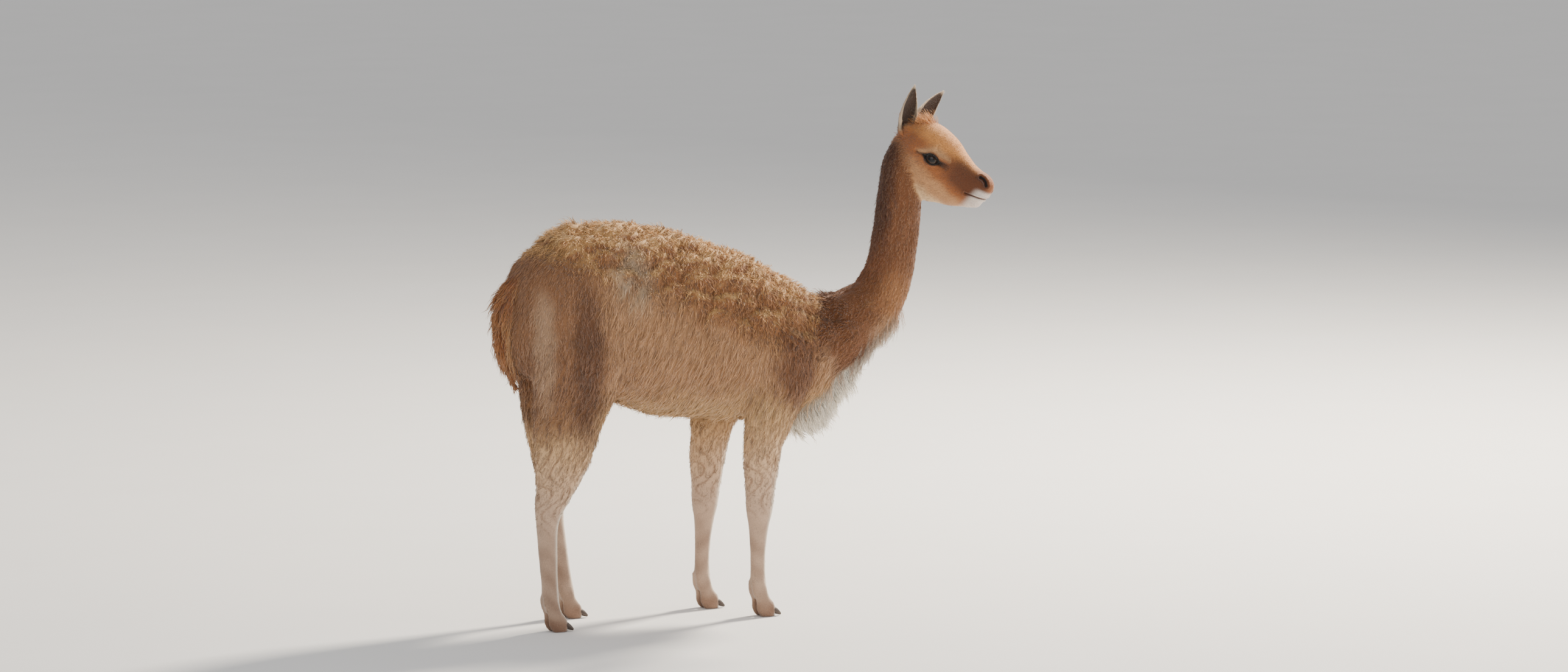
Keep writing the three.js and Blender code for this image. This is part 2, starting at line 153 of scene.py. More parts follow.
class Limb:
    """A rounded limb through rows of x, y, z, half width, reach above and reach below."""

    def __init__(self, rows):
        self.rows = np.array(rows, float)
        first = 2 * self.rows[0] - self.rows[1]
        last = 2 * self.rows[-1] - self.rows[-2]
        self.padded = np.vstack([first, self.rows, last])
        self.spans = len(self.rows) - 1

    def spline(self, t):
        place = np.clip(np.asarray(t) * self.spans, 0, self.spans - 1e-6)
        i = place.astype(int)
        f = (place - i)[..., None]
        a, b, c, d = (self.padded[i + k] for k in range(4))
        bend = (2 * a - 5 * b + 4 * c - d) * f**2
        return 0.5 * (2 * b + (c - a) * f + bend + (3 * b - a - 3 * c + d) * f**3)

    def axes(self, t):
        step = 1e-3
        low, high = np.clip(t - step, 0, 1), np.clip(t + step, 0, 1)
        along = unit(self.spline(high)[..., :3] - self.spline(low)[..., :3])
        up = unit(np.cross(along, [0.0, 1.0, 0.0]))
        return along, up, np.cross(up, along)

    def at(self, t, angle, inset=0.0):
        row = self.spline(t)
        _, up, side = self.axes(t)
        reach = np.where(np.sin(angle) > 0, row[..., 4], row[..., 5])
        half = np.maximum(row[..., 3] - inset, 0.4 * row[..., 3])
        reach = np.maximum(reach - inset, 0.4 * reach)
        place = row[..., :3] + side * (np.cos(angle) * half)[..., None]
        return place + up * (np.sin(angle) * reach)[..., None]

    def loft(self, rings, sides, inset=0.0):
        """Vertices and faces of a closed body."""
        t, angle = np.meshgrid(np.linspace(0, 1, rings), np.arange(sides) * 2 * np.pi / sides, indexing="ij")
        depth = inset(t, angle) if callable(inset) else inset
        verts = self.at(t, angle, depth).reshape(-1, 3)
        faces = []
        for i in range(rings - 1):
            for j in range(sides):
                k = (j + 1) % sides
                faces.append((i * sides + j, i * sides + k, (i + 1) * sides + k, (i + 1) * sides + j))
        faces.append(tuple(range(sides))[::-1])
        faces.append(tuple(range((rings - 1) * sides, rings * sides)))
        return verts, faces


TRUNK = Limb([
    (-392, 0, 700, 22, 30, 40), (-380, 0, 698, 80, 96, 108), (-340, 0, 695, 124, 162, 138),
    (-280, 0, 690, 146, 210, 152), (-195, 0, 688, 154, 228, 172), (-100, 0, 676, 154, 230, 188),
    (0, 0, 656, 152, 219, 202), (100, 0, 634, 148, 208, 192), (205, 0, 604, 138, 185, 174),
    (290, 0, 584, 122, 164, 142), (360, 0, 574, 92, 128, 108), (408, 0, 570, 50, 74, 62),
    (424, 0, 570, 14, 24, 22),
])
NECK = Limb([
    (300, 0, 596, 104, 116, 118), (382, 0, 616, 92, 96, 112), (446, -1, 648, 80, 82, 92),
    (500, -4, 685, 67, 72, 77), (530, -9, 733, 58, 64, 68), (544, -15, 786, 54, 61, 64),
    (551, -21, 840, 52, 60, 62), (556, -27, 895, 51, 60, 61), (560, -32, 950, 50, 60, 57),
    (568, -35, 1004, 48, 60, 50), (584, -36, 1048, 42, 50, 42),
])
BIB = Limb([
    (505, -2, 660, 34, 34, 40), (458, 0, 603, 58, 48, 60), (412, 0, 546, 66, 50, 60),
    (366, 0, 494, 64, 56, 60), (322, 0, 452, 52, 60, 50), (288, 0, 420, 28, 40, 36),
])
TAIL = Limb([
    (-322, 0, 800, 24, 26, 24), (-372, 0, 776, 30, 28, 27), (-399, 0, 732, 36, 28, 28),
    (-405, 0, 682, 39, 28, 27), (-399, 0, 632, 39, 26, 26), (-389, 0, 586, 32, 22, 22),
    (-380, 0, 550, 16, 12, 12), (-377, 0, 534, 4, 4, 4),
])
SKULL = Limb([
    (-106, 0, 0, 14, 16, 20), (-94, 0, 0, 40, 42, 62), (-62, 0, -2, 56, 64, 92),
    (-25, 0, -2, 60, 70, 99), (12, 0, -3, 57, 63, 102), (45, 0, -8, 47, 51, 96),
    (75, 0, -14, 38, 45, 76), (103, 0, -16, 33, 42, 57), (124, 0, -16, 29, 40, 47),
    (138, 0, -17, 24, 33, 34), (147, 0, -19, 13, 17, 16),
])
HIND_ROWS = [
    (-232, -24, 760, 46, 84, 90), (-242, 0, 690, 58, 112, 116), (-248, 12, 620, 68, 128, 128),
    (-256, 13, 555, 60, 94, 122), (-275, 12, 490, 50, 79, 102), (-290, 10, 430, 42, 73, 84),
    (-301, 8, 375, 36, 66, 70), (-315, 5, 320, 31, 50, 53), (-329, 3, 280, 28, 41, 41),
    (-334, 1, 235, 25, 31, 31), (-332, 0, 165, 22, 28, 27), (-328, 0, 105, 21, 25, 25),
    (-325, 0, 70, 23, 23, 25), (-322, 0, 44, 20, 21, 21),
]
FORE_ROWS = [
    (232, -22, 670, 40, 62, 66), (236, 2, 610, 52, 82, 82), (226, 12, 530, 54, 78, 80),
    (208, 10, 460, 44, 62, 66), (194, 6, 395, 36, 51, 51), (189, 4, 345, 32, 47, 47),
    (186, 2, 285, 30, 41, 40), (184, 1, 240, 29, 38, 36), (183, 0, 205, 24, 31, 29),
    (182, 0, 155, 20, 25, 25), (182, 0, 105, 20, 23, 24), (184, 0, 70, 22, 22, 24),
    (187, 0, 44, 19, 20, 20),
]


def pair_leg(side, step, fade, top, track, rows):
    """The left leg of a pair stands ahead of the right one by step, less so higher up."""
    moved = []
    for x, out, z, *size in rows:
        ahead = step * max(0.0, 1 - z / top) ** fade if side > 0 else 0.0
        moved.append((x + ahead, side * (track + out), z, *size))
    return Limb(moved)


LEGS = {}
for hand, side in SIDES.items():
    LEGS[f"hindleg_{hand}"] = pair_leg(side, HIND_STEP, 0.8, 760, HIND_TRACK, HIND_ROWS)
    LEGS[f"foreleg_{hand}"] = pair_leg(side, FORE_STEP, 0.25, 690, FORE_TRACK, FORE_ROWS)


def fetlock(limb):
    return limb.rows[-2][:3]


def toe_limb(limb, toe_side):
    x, y, _ = fetlock(limb)
    y += toe_side * TOE_SPREAD / 2
    return Limb([
        (x - 6, y - toe_side * 3, 84, 9, 16, 18),
        (x - 2, y - toe_side * 1, 62, 9.5, 19, 20),
        (x + 4, y, 42, 9.5, 18, 18),
        (x + 12, y, 24, 10.5, 21, 26),
        (x + 24, y, 12, 10.5, 20, 24),
        (x + 34, y, 9, 7, 12, 14),
    ])


def nail_limb(limb, toe_side):
    x, y, _ = fetlock(limb)
    y += toe_side * TOE_SPREAD / 2
    return Limb([
        (x + 16, y, 21, 6.5, 6, 6),
        (x + 30, y, 15, 7.4, 7.6, 7),
        (x + 40, y, 9, 6, 6, 5.5),
        (x + 48, y, 4, 2.5, 2.6, 2.4),
    ])


# Mesh making
def place_object(name, data):
    piece = bpy.data.objects.new(name, data)
    bpy.context.scene.collection.objects.link(piece)
    return piece


def mesh_object(name, verts, faces):
    mesh = bpy.data.meshes.new(name)
    mesh.from_pydata([tuple(v) for v in verts], [], faces)
    mesh.update()
    piece = place_object(name, mesh)
    shade_smooth(piece)
    return piece


def shade_smooth(piece):
    faces = piece.data.polygons
    faces.foreach_set("use_smooth", np.ones(len(faces), bool))


def hand_in(piece, material, slot, *nodes):
    """Gives a piece its material, fixes it to the body and hides the CAD nodes it replaces; slot is not used.
    """
    piece.data.materials.append(material)
    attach(piece, "root")
    if nodes:
        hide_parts(*nodes)


def face_outward(piece):
    mesh = bmesh.new()
    mesh.from_mesh(piece.data)
    bmesh.ops.recalc_face_normals(mesh, faces=mesh.faces)
    mesh.to_mesh(piece.data)
    mesh.free()


def points_of(piece):
    flat = np.empty(len(piece.data.vertices) * 3)
    piece.data.vertices.foreach_get("co", flat)
    return flat.reshape(-1, 3)


def set_points(piece, points):
    piece.data.vertices.foreach_set("co", np.ascontiguousarray(points).ravel())
    piece.data.update()


def normals_of(piece):
    flat = np.empty(len(piece.data.vertices) * 3)
    piece.data.vertex_normals.foreach_get("vector", flat)
    return flat.reshape(-1, 3)


def apply_modifiers(piece):
    graph = bpy.context.evaluated_depsgraph_get()
    mesh = bpy.data.meshes.new_from_object(piece.evaluated_get(graph))
    piece.modifiers.clear()
    old = piece.data
    piece.data = mesh
    bpy.data.meshes.remove(old)


def neighbours(piece):
    """The two ends of each edge, and how many edges meet at each point."""
    edges = np.empty(len(piece.data.edges) * 2, int)
    piece.data.edges.foreach_get("vertices", edges)
    a, b = edges.reshape(-1, 2).T
    n = len(piece.data.vertices)
    return a, b, np.maximum(np.bincount(a, minlength=n) + np.bincount(b, minlength=n), 1)


def mean_around(values, ends):
    """The mean of each point's neighbours, column by column."""
    a, b, count = ends
    n = len(values)
    sums = [np.bincount(a, column[b], n) + np.bincount(b, column[a], n) for column in values.T]
    return np.stack(sums, axis=1) / count[:, None]


def relax(piece, rounds, weight):
    """Moves each point towards the mean of its neighbours, by weight, a number for each point."""
    ends = neighbours(piece)
    points = points_of(piece)
    for _ in range(rounds):
        points += (mean_around(points, ends) - points) * weight[:, None]
    set_points(piece, points)


def spread(values, ends, rounds):
    """Evens out values, rows by point of the skin, over neighbouring points."""
    for _ in range(rounds):
        values = 0.5 * (values + mean_around(values, ends))
    return values


def ellipsoid(centre, radii, rings=16, sides=24):
    verts = [np.array(centre) + [0, 0, radii[2]]]
    for i in range(1, rings):
        for j in range(sides):
            a, b = math.pi * i / rings, 2 * math.pi * j / sides
            spot = [math.sin(a) * math.cos(b), math.sin(a) * math.sin(b), math.cos(a)]
            verts.append(np.array(centre) + np.array(radii) * spot)
    verts.append(np.array(centre) - [0, 0, radii[2]])
    faces = []
    for j in range(sides):
        k = (j + 1) % sides
        faces.append((0, 1 + j, 1 + k))
        faces.append((len(verts) - 1, 1 + (rings - 2) * sides + k, 1 + (rings - 2) * sides + j))
        for i in range(rings - 2):
            a, b = 1 + i * sides, 1 + (i + 1) * sides
            faces.append((a + j, b + j, b + k, a + k))
    return np.array(verts), faces


# Skin
def edge_height(x):
    """Height of the mantle's lower edge along the flank."""
    return np.interp(x, EDGE_X, EDGE_Z)


def mantle_weight(points):
    """1 on the long fleece of back and upper flanks, 0 below its edge and at both ends of the trunk."""
    x, y, z = points[..., 0], points[..., 1], points[..., 2]
    wave = 14 * np.sin(x / 23 + 1.3 * np.sin(z / 31)) + 9 * np.sin(x / 9.5 + y / 17)
    ends = smooth(-392, -350, x) * (1 - smooth(375, 430, x + 0.25 * (z - 700)))
    return smooth(-24, 24, z + 1.3 * wave - edge_height(x)) * ends


def trunk_inset(t, angle):
    return DEPTH["trunk"] + DEPTH["mantle"] * mantle_weight(TRUNK.at(t, angle))


def ear_frame(hand):
    """Root, rise, width and opening direction of an ear, in the head's frame."""
    side = SIDES[hand]
    rise = unit(np.array(EAR_RISE[hand]))
    opening = np.array(EAR_OPENING[hand])
    opening = unit(opening - rise * (opening @ rise))
    base = np.array([EAR_BASE[0], side * EAR_BASE[1], EAR_BASE[2]])
    return base, rise, np.cross(rise, opening), opening


def ear_shell(hand, rings=46, across=26):
    """A thin leaf, rolled round its length: an outer and an inner face, joined along the rim."""
    base, rise, wide, opening = ear_frame(hand)
    share = np.linspace(EAR_FOOT, 1, rings)
    half = np.interp(share, EAR_PROFILE[0], EAR_PROFILE[1])
    depth = np.interp(share, EAR_PROFILE[0], EAR_PROFILE[2])
    roll = np.radians(np.interp(share, [EAR_FOOT, 0.15, 0.6, 1], [150, 118, 82, 60]))
    turn = np.linspace(-1, 1, across)
    leaves = []
    for wall in (0.0, 1.0):
        thick = np.interp(share, [0, 0.8, 1], [4.5, 2.6, 1.2]) * wall
        for i in range(rings):
            a = turn * roll[i]
            ring = base + rise * (EAR_LENGTH * share[i] - 0.4 * thick[i])
            w = np.sin(a) / max(math.sin(min(roll[i], math.pi / 2)), 1e-3) * (half[i] - 0.5 * thick[i])
            d = -np.cos(a) * (depth[i] - thick[i])
            leaves.append(ring + wide * w[:, None] + opening * (d + 0.25 * depth[i])[:, None])
    faces = []
    step = rings * across
    for i in range(rings - 1):
        for a in range(i * across, (i + 1) * across - 1):
            b = a + step
            faces += [(a, a + across, a + across + 1, a + 1), (b, b + 1, b + across + 1, b + across)]
        for a, way in ((i * across, 1), (i * across + across - 1, -1)):
            faces.append((a, a + step, a + step + across, a + across)[::way])
    for i, way in ((0, 1), (rings - 1, -1)):
        for a in range(i * across, (i + 1) * across - 1):
            faces.append((a, a + 1, a + step + 1, a + step)[::way])
    return np.vstack(leaves), faces


def skin_parts():
    yield TRUNK.loft(80, 64, trunk_inset)
    yield NECK.loft(60, 48, DEPTH["neck"])
    yield BIB.loft(40, 40, DEPTH["bib"])
    yield TAIL.loft(40, 32, DEPTH["tail"])
    for limb in LEGS.values():
        yield limb.loft(70, 36, DEPTH["leg"])
        for toe_side in SIDES.values():
            yield toe_limb(limb, toe_side).loft(24, 20, 1.0)
    head = [SKULL.loft(60, 48, DEPTH["head"])] + [ellipsoid(*form) for form in NOSE_AND_CHIN]
    for side in SIDES.values():
        head += [ellipsoid((x, side * y, z), radii) for (x, y, z), radii in PAIRED_FORMS]
    for verts, faces in head:
        yield head_to_body(verts), faces


def design_points(piece):
    return (points_of(piece) - SHIFT) * 1000


def head_points(piece):
    return body_to_head(design_points(piece))


def build_skin():
    all_verts, all_faces, start = [], [], 0
    for verts, faces in skin_parts():
        all_verts.append(verts)
        all_faces += [tuple(start + i for i in face) for face in faces]
        start += len(verts)
    skin = mesh_object("skin", to_scene(np.vstack(all_verts)), all_faces)
    remesh = skin.modifiers.new("one_surface", "REMESH")
    remesh.mode = "VOXEL"
    remesh.voxel_size = VOXEL
    remesh.use_smooth_shade = True
    apply_modifiers(skin)
    points = design_points(skin)
    local = body_to_head(points)
    face = smooth(-80, -50, local[:, 0]) * smooth(-140, -110, local[:, 2])
    foot = 1 - smooth(70, 110, points[:, 2])
    relax(skin, 16, 0.5 * (1 - 0.8 * np.maximum(face, foot)))
    lump_fleece(skin)
    split_near(skin, lambda p: (p[:, 0] > -34) & (p[:, 2] > -112) & (abs(p[:, 1]) < 80))
    local = head_points(skin)
    relax(skin, 6, 0.5 * smooth(-45, -25, local[:, 0]) * smooth(-125, -110, local[:, 2]))
    split_near(skin, near_detail)
    relax(skin, 3, 0.5 * near_detail(head_points(skin)))
    set_points(skin, to_scene(head_to_body(shape_head(head_points(skin)))))
    add_ears(skin)
    points = points_of(skin)
    points[:, 2] = np.maximum(points[:, 2], SKIN_GROUND / 1000)
    set_points(skin, points)
    return skin


def near_detail(local):
    """Round the eyes, nostrils and lips, in the head's frame."""
    eyes = np.linalg.norm(np.abs(local) - [0, EYE_SPACING / 2, 0], axis=1) < 34
    outer = eyes & (np.abs(local[:, 1]) > 28)
    return outer | ((local[:, 0] > 84) & (np.abs(local[:, 1]) < 45) & (local[:, 2] > -80))


def split_near(skin, chooses):
    """Makes the mesh finer where chooses, a function of points in the head's frame, is true."""
    mesh = bmesh.new()
    mesh.from_mesh(skin.data)
    mesh.verts.ensure_lookup_table()
    chosen = chooses(head_points(skin))
    edges = [edge for edge in mesh.edges if chosen[edge.verts[0].index] and chosen[edge.verts[1].index]]
    bmesh.ops.subdivide_edges(mesh, edges=edges, cuts=1, use_grid_fill=True)
    mesh.to_mesh(skin.data)
    mesh.free()
    shade_smooth(skin)


def eye_axes(side):
    """Centre, forward, up and outward directions of an eye, in the head's frame."""
    centre = np.array([0, side * EYE_SPACING / 2, 0])
    outward = unit(np.array([0.28, side, 0.08]))
    ahead = unit(np.array([outward[1], -outward[0], 0]) * side)
    return centre, ahead, np.cross(outward, ahead) * -side, outward


def upper_lid(a):
    """Height of the upper lid's edge at a place along the eye, in millimetres along the ball."""
    return LID_UP * lid_share(a) ** 0.8 * (1 + 0.012 * a) + LID_FALL * a


def lid_share(a):
    return np.clip(1 - (a / LID_HALF) ** 2, 0, 1)


def eye_opening(a, b):
    """How far a place on the eyeball, in millimetres along it, lies inside the lids' almond."""
    lower = -LID_DOWN * lid_share(a) ** 0.85 + LID_FALL * a
    return np.minimum(upper_lid(a) - b, b - lower) - np.maximum(np.abs(a) - LID_HALF, 0)


def on_eye(local, side):
    """Places in an eye's own terms: forward and up along the ball, distance from its centre, ahead of it."""
    centre, ahead, up, outward = eye_axes(side)
    v = local - centre
    out = v @ outward
    a = EYE_RADIUS * np.arctan2(v @ ahead, np.maximum(out, 1e-3))
    b = EYE_RADIUS * np.arctan2(v @ up, np.maximum(out, 1e-3))
    return a, b, np.linalg.norm(v, axis=1), out


def line_distance(points, path):
    """Distance of each point to a path of straight lengths."""
    best = np.full(len(points), np.inf)
    for a, b in zip(np.array(path[:-1], float), np.array(path[1:], float)):
        s = np.clip(((points - a) @ (b - a)) / ((b - a) @ (b - a)), 0, 1)
        best = np.minimum(best, np.linalg.norm(points - a - s[:, None] * (b - a), axis=1))
    return best


def mouth_gap(local):
    """Distance from the line of the mouth, which runs level round the muzzle and ends at its corners."""
    x, y, z = local.T
    line = np.interp(x, [100, 122, 140, 150], [-33, -30, -28, -27])
    return np.hypot(z - line, np.maximum(101 - x, 0)) + 40 * (np.abs(y) > 50)


def nostril_gap(local, side):
    """Distance from a nostril's slit, seen from the side."""
    path = [(113, 0, 14), (121, 0, 13.5), (129, 0, 10), (135, 0, 4)]
    return line_distance(local * [1, 0, 1], path) + 40 * (side * local[:, 1] < 8)


def shape_head(local):
    """Carves sockets, lids, nostrils, mouth and the cleft of the lip into points in the head's frame."""
    p = local.copy()
    inward = unit(np.stack([0 * p[:, 0], -p[:, 1], -(p[:, 2] + 18)], axis=1) * [1, 1, 0.6])
    for side in SIDES.values():
        centre = eye_axes(side)[0]
        a, b, r, out = on_eye(p, side)
        d = eye_opening(a, b)
        near = (out > 2) & (r < 46)
        lid = EYE_RADIUS + 1.4 + 2.6 * smooth(0, 7, -d)
        crease = 1.5 * np.exp(-(((-d - 6.5) / 1.6) ** 2)) * (b > 0)
        blend = 1 - smooth(4, 15, -d)
        radius = np.where(d > 0, EYE_RADIUS * 0.8, r + (lid - r) * blend - crease * (d < 0))
        p[near] = (centre + unit(p - centre) * radius[:, None])[near]
        hole = nostril_gap(p, side)
        mouth = mouth_gap(p)
        dip = 7.0 * np.exp(-((hole / 2.6) ** 2)) - 1.6 * np.exp(-(((hole - 6) / 2.2) ** 2))
        dip += 3.4 * np.exp(-((mouth / 1.8) ** 2))
        dip -= 1.3 * np.exp(-(((mouth - 5) / 2.4) ** 2))
        back = smooth(120, 146, p[:, 0])
        pull = unit(inward * (1 - back)[:, None] + np.array([-1.0, 0, 0]) * back[:, None])
        p += pull * (dip * (side * p[:, 1] > 0))[:, None]
    cleft = np.exp(-((p[:, 1] / 1.6) ** 2)) * smooth(128, 136, p[:, 0])
    cleft *= smooth(-30, -24, p[:, 2]) * (1 - smooth(-8, 2, p[:, 2]))
    p[:, 0] -= 3.0 * cleft
    return p


def add_ears(skin):
    for hand in SIDES:
        verts, faces = ear_shell(hand)
        ear = mesh_object("ear_shell", to_scene(head_to_body(verts)), faces)
        face_outward(ear)
        join = skin.modifiers.new("ear", "BOOLEAN")
        join.operation = "UNION"
        join.solver = "MANIFOLD"
        join.object = ear
        apply_modifiers(skin)
        bpy.data.objects.remove(ear)
    local = head_points(skin)
    seam = np.zeros(len(local))
    for hand in SIDES:
        base, rise = ear_frame(hand)[:2]
        along = (local - base) @ rise
        near = np.linalg.norm(local - base, axis=1)
        seam = np.maximum(seam, (1 - smooth(14, 24, along)) * (1 - smooth(26, 40, near)))
    relax(skin, 8, 0.5 * seam)
    shade_smooth(skin)
    skin.data.polygons.foreach_set("material_index", np.zeros(len(skin.data.polygons), int))
    skin.data.materials.clear()


def nearest(points, centres):
    """For each point, the index of the nearest centre and its distance."""
    tree = KDTree(len(centres))
    for i, centre in enumerate(centres):
        tree.insert(centre, i)
    tree.balance()
    found = [tree.find(point)[1:] for point in points]
    index, distance = np.array(found).T
    return index.astype(int), distance


def thin_out(points, spacing, rng):
    """Indices of points that keep about the given spacing, in random order."""
    order = rng.permutation(len(points))
    cells = np.floor(points[order] / spacing + rng.random(3)).astype(int)
    _, first = np.unique(cells, axis=0, return_index=True)
    return order[first]


def lump_fleece(skin):
    """Raises rounded lumps of wool, set close, with creases between them, over the mantle."""
    rng = np.random.default_rng(5)
    points = design_points(skin)
    weight = mantle_weight(points)
    normals = normals_of(skin)
    height = points[:, 2]
    creased = np.clip(1 - weight, 0, 1) * smooth(260, 360, height) * (1 - smooth(920, 1000, height))
    creased *= 1 - smooth(575, 610, points[:, 0])
    lumps = [
        (weight, 50, 15.0, (0.75, 1, 1)),
        (weight, 21, 5.0, (0.9, 1, 1)),
        (creased, 21, 2.8, (1, 1, 0.45)),
    ]
    for amount, spacing, rise, stretch in lumps:
        centres = (points * stretch)[amount > 0.05]
        centres = centres[thin_out(centres, spacing, rng)]
        chosen = np.flatnonzero(amount > 0.01)
        _, distance = nearest((points * stretch)[chosen], centres)
        bump = np.clip(1 - (distance / (0.78 * spacing)) ** 2, 0, 1) - 0.4
        points[chosen] += normals[chosen] * (rise * bump * amount[chosen])[:, None]
    set_points(skin, to_scene(points))


# Where each place of the skin belongs, how its hair lies and how it is coloured
GROUPS = ["trunk", "neck", "bib", "tail", "leg", "head", "ear"]


def surface_samples():
    """Places over all forms, with the form's group, its share along and round, and its direction."""
    rows = []

    def add(spots, along, group, t, angle, inner):
        whole = np.ones(len(spots))
        marks = [whole * GROUPS.index(group), t, angle, whole * len(rows), whole * inner]
        rows.append(np.column_stack([spots, along, *marks]))

    shapes = [("trunk", TRUNK), ("neck", NECK), ("bib", BIB), ("tail", TAIL), ("head", SKULL)]
    shapes += [("leg", limb) for limb in LEGS.values()]
    for limb in LEGS.values():
        shapes += [("leg", toe_limb(limb, toe_side)) for toe_side in SIDES.values()]
    for group, limb in shapes:
        rings = 90 if group != "leg" else 70
        t, angle = np.meshgrid(np.linspace(0, 1, rings), np.linspace(0, 2 * np.pi, 40, False), indexing="ij")
        inset = trunk_inset(t, angle) if group == "trunk" else DEPTH[group]
        spots = limb.at(t, angle, inset).reshape(-1, 3)
        along = limb.axes(t)[0].reshape(-1, 3)
        if group == "head":
            spots, along = head_to_body(spots), along @ HEAD_TURN.T
        add(spots, along, group, t.ravel(), angle.ravel(), 0.0)
    for hand in SIDES:
        verts, _ = ear_shell(hand, 30, 20)
        base, rise, wide, opening = ear_frame(hand)
        t = (verts - base) @ rise / EAR_LENGTH
        angle = np.arctan2((verts - base) @ wide, -((verts - base) @ opening))
        keep = t > 0.1
        inner = np.arange(len(verts)) >= len(verts) // 2
        spots = head_to_body(verts)[keep]
        along = np.tile(rise @ HEAD_TURN.T, (len(spots), 1))
        add(spots, along, "ear", t[keep], angle[keep], inner[keep])
    return np.vstack(rows), len(rows)


def tint(red, green, blue):
    """An sRGB colour as linear light."""
    c = np.array([red, green, blue])
    return np.where(c <= 0.04045, c / 12.92, ((c + 0.055) / 1.055) ** 2.4)


# sRGB colours in percent, kept as linear light; the golden one is painted sunlight and shade is painted shade
PALETTE = {
    "cinnamon": (70, 48, 30), "sunlit_golden": (94, 74, 48), "fawn": (77, 58, 41), "belly": (86, 69, 48),
    "grey": (84, 76, 64), "haunch": (60, 41, 27), "shade": (38, 23, 14), "shoulder": (50, 31, 19),
    "rust": (58, 32, 14), "neck": (52, 32, 18), "nape": (31, 17, 9), "rose": (81, 66, 52),
    "white": (98, 94, 87), "leg": (80, 68, 58), "shin": (50, 39, 32), "forehead": (84, 57, 31),
    "face": (58, 35, 19), "cheek": (72, 53, 36), "jaw": (85, 71, 53), "muzzle": (32, 18, 11),
    "lips": (86, 81, 77), "black": (7, 5, 4.5), "ear": (64, 47, 33), "ear_cup_shade": (22, 14, 9),
    "rim": (90, 82, 70),
}
PALETTE = {name: tint(*np.array(rgb) / 100) for name, rgb in PALETTE.items()}


def wander(points, size, seed=0.0):
    """A smooth, uneven field between about -1 and 1, with forms of the given size."""
    x, y, z = (points / size).T
    field = np.sin(x + 1.7 * np.sin(0.7 * y + seed) + seed) * np.cos(y * 1.1 + 1.3 * np.sin(0.8 * z - seed))
    return 0.6 * field + 0.4 * np.sin(2.1 * z + 1.9 * np.sin(1.3 * x + seed) + 2 * seed)


def patch(points, centre, radii):
    """1 inside an ellipsoid's middle, 0 outside it."""
    return 1 - smooth(0.35, 1.0, np.linalg.norm((points - np.array(centre)) / np.array(radii), axis=1))


def paint(colours, layers):
    """Lays palette colours over one another, in order: rows of a name and a weight for each place."""
    for name, weight in layers:
        colours += (PALETTE[name] - colours) * weight[:, None]


def ruff(points, weight, normals):
    """1 on the front of the lowest neck, where the bib's white hair climbs."""
    x, y, z = points.T
    front = smooth(430, 475, x + 0.8 * (600 - z)) * smooth(0.35, 0.75, normals[:, 0])
    return weight["neck"] * front * (1 - smooth(600, 690, z))


def markings(points, weight, normals, inner):
    """The coat's colour at places of the skin, by group weights."""
    x, y, z = points.T
    x = x + 9 * wander(points, 24, 1.0)
    z = z + 12 * wander(points, 30, 2.0)
    side = np.abs(y)
    flat = np.stack([x, side, z], 1)
    local = body_to_head(points)
    leg, tail, neck = weight["leg"], weight["tail"], weight["neck"]
    above = smooth(-30, 30, z - edge_height(x))
    streak = patch(points, (-142, 0, 780), (78, 260, 118)) * smooth(-0.9, 0.5, wander(points, 14, 6.0))
    crease = np.abs(np.sin(x / 7.5 + 2.2 * np.sin(points[:, 2] / 15 + y / 30) + 0.5 * wander(points, 21)))
    crease = (1 - smooth(0.12, 0.5, crease)) * smooth(190, 300, z) * (1 - smooth(600, 700, z))
    shin = (1 - smooth(110, 360, z)) * (0.62 + 0.30 * wander(points, 17))
    front = smooth(0.3, 0.95, normals[:, 0]) * (1 - smooth(260, 430, z))
    brown = smooth(690, 800, z) + smooth(30, -60, x - 505)
    behind = smooth(0.25, 0.9, -normals[:, 0] + 0.2 * normals[:, 2])
    colours = np.tile(PALETTE["fawn"], (len(points), 1))
    paint(colours, [
        ("belly", 1 - smooth(470, 560, z)),
        ("haunch", 0.8 * smooth(-190, -260, x) * smooth(400, 480, z)),
        ("cinnamon", above),
        ("shade", 0.30 * above * smooth(0.1, 0.9, wander(points, 19, 3.0))),
        # Painted sunlight: the upward-facing top of the mantle turns a sunlit golden
        ("sunlit_golden", above * smooth(0.30, 0.80, normals[:, 2] + 0.15 * wander(points, 15, 5.0))),
        ("grey", 0.8 * streak * np.where(y < 0, 1, 0.5) * smooth(40, 90, side)),
        ("shade", 0.7 * patch(flat, (-258, 140, 590), (50, 90, 260))),
        ("rose", 0.75 * patch(flat, (-352, 110, 640), (30, 70, 190))),
        ("shoulder", 0.85 * patch(flat, (262, 120, 560), (86, 110, 135))),
        ("leg", leg * (1 - smooth(210, 500, z))),
        ("shade", 0.6 * crease * leg),
        # Painted shade: lower legs darker taupe towards the bottom, with random variation
        ("shin", leg * 0.9 * shin),
        ("white", leg * front * 0.8),
        ("shade", leg * 0.5 * (1 - smooth(18, 46, z))),
        ("rust", tail * (0.85 + 0.15 * wander(points, 11))),
        ("belly", tail * smooth(18, 34, side) * 0.6),
        ("rose", neck * (1 - above)),
        ("neck", neck * np.clip(brown, 0, 1)),
        # Painted shade: the back-facing side of the upper neck is darkened to nape brown
        ("nape", neck * behind * smooth(760, 900, z)),
        ("white", np.clip(weight["bib"] * 1.3 + ruff(points, weight, normals), 0, 1)),
    ])
    paint_head(colours, local, weight["head"])
    paint_ears(colours, local, weight["ear"], inner)
    return colours


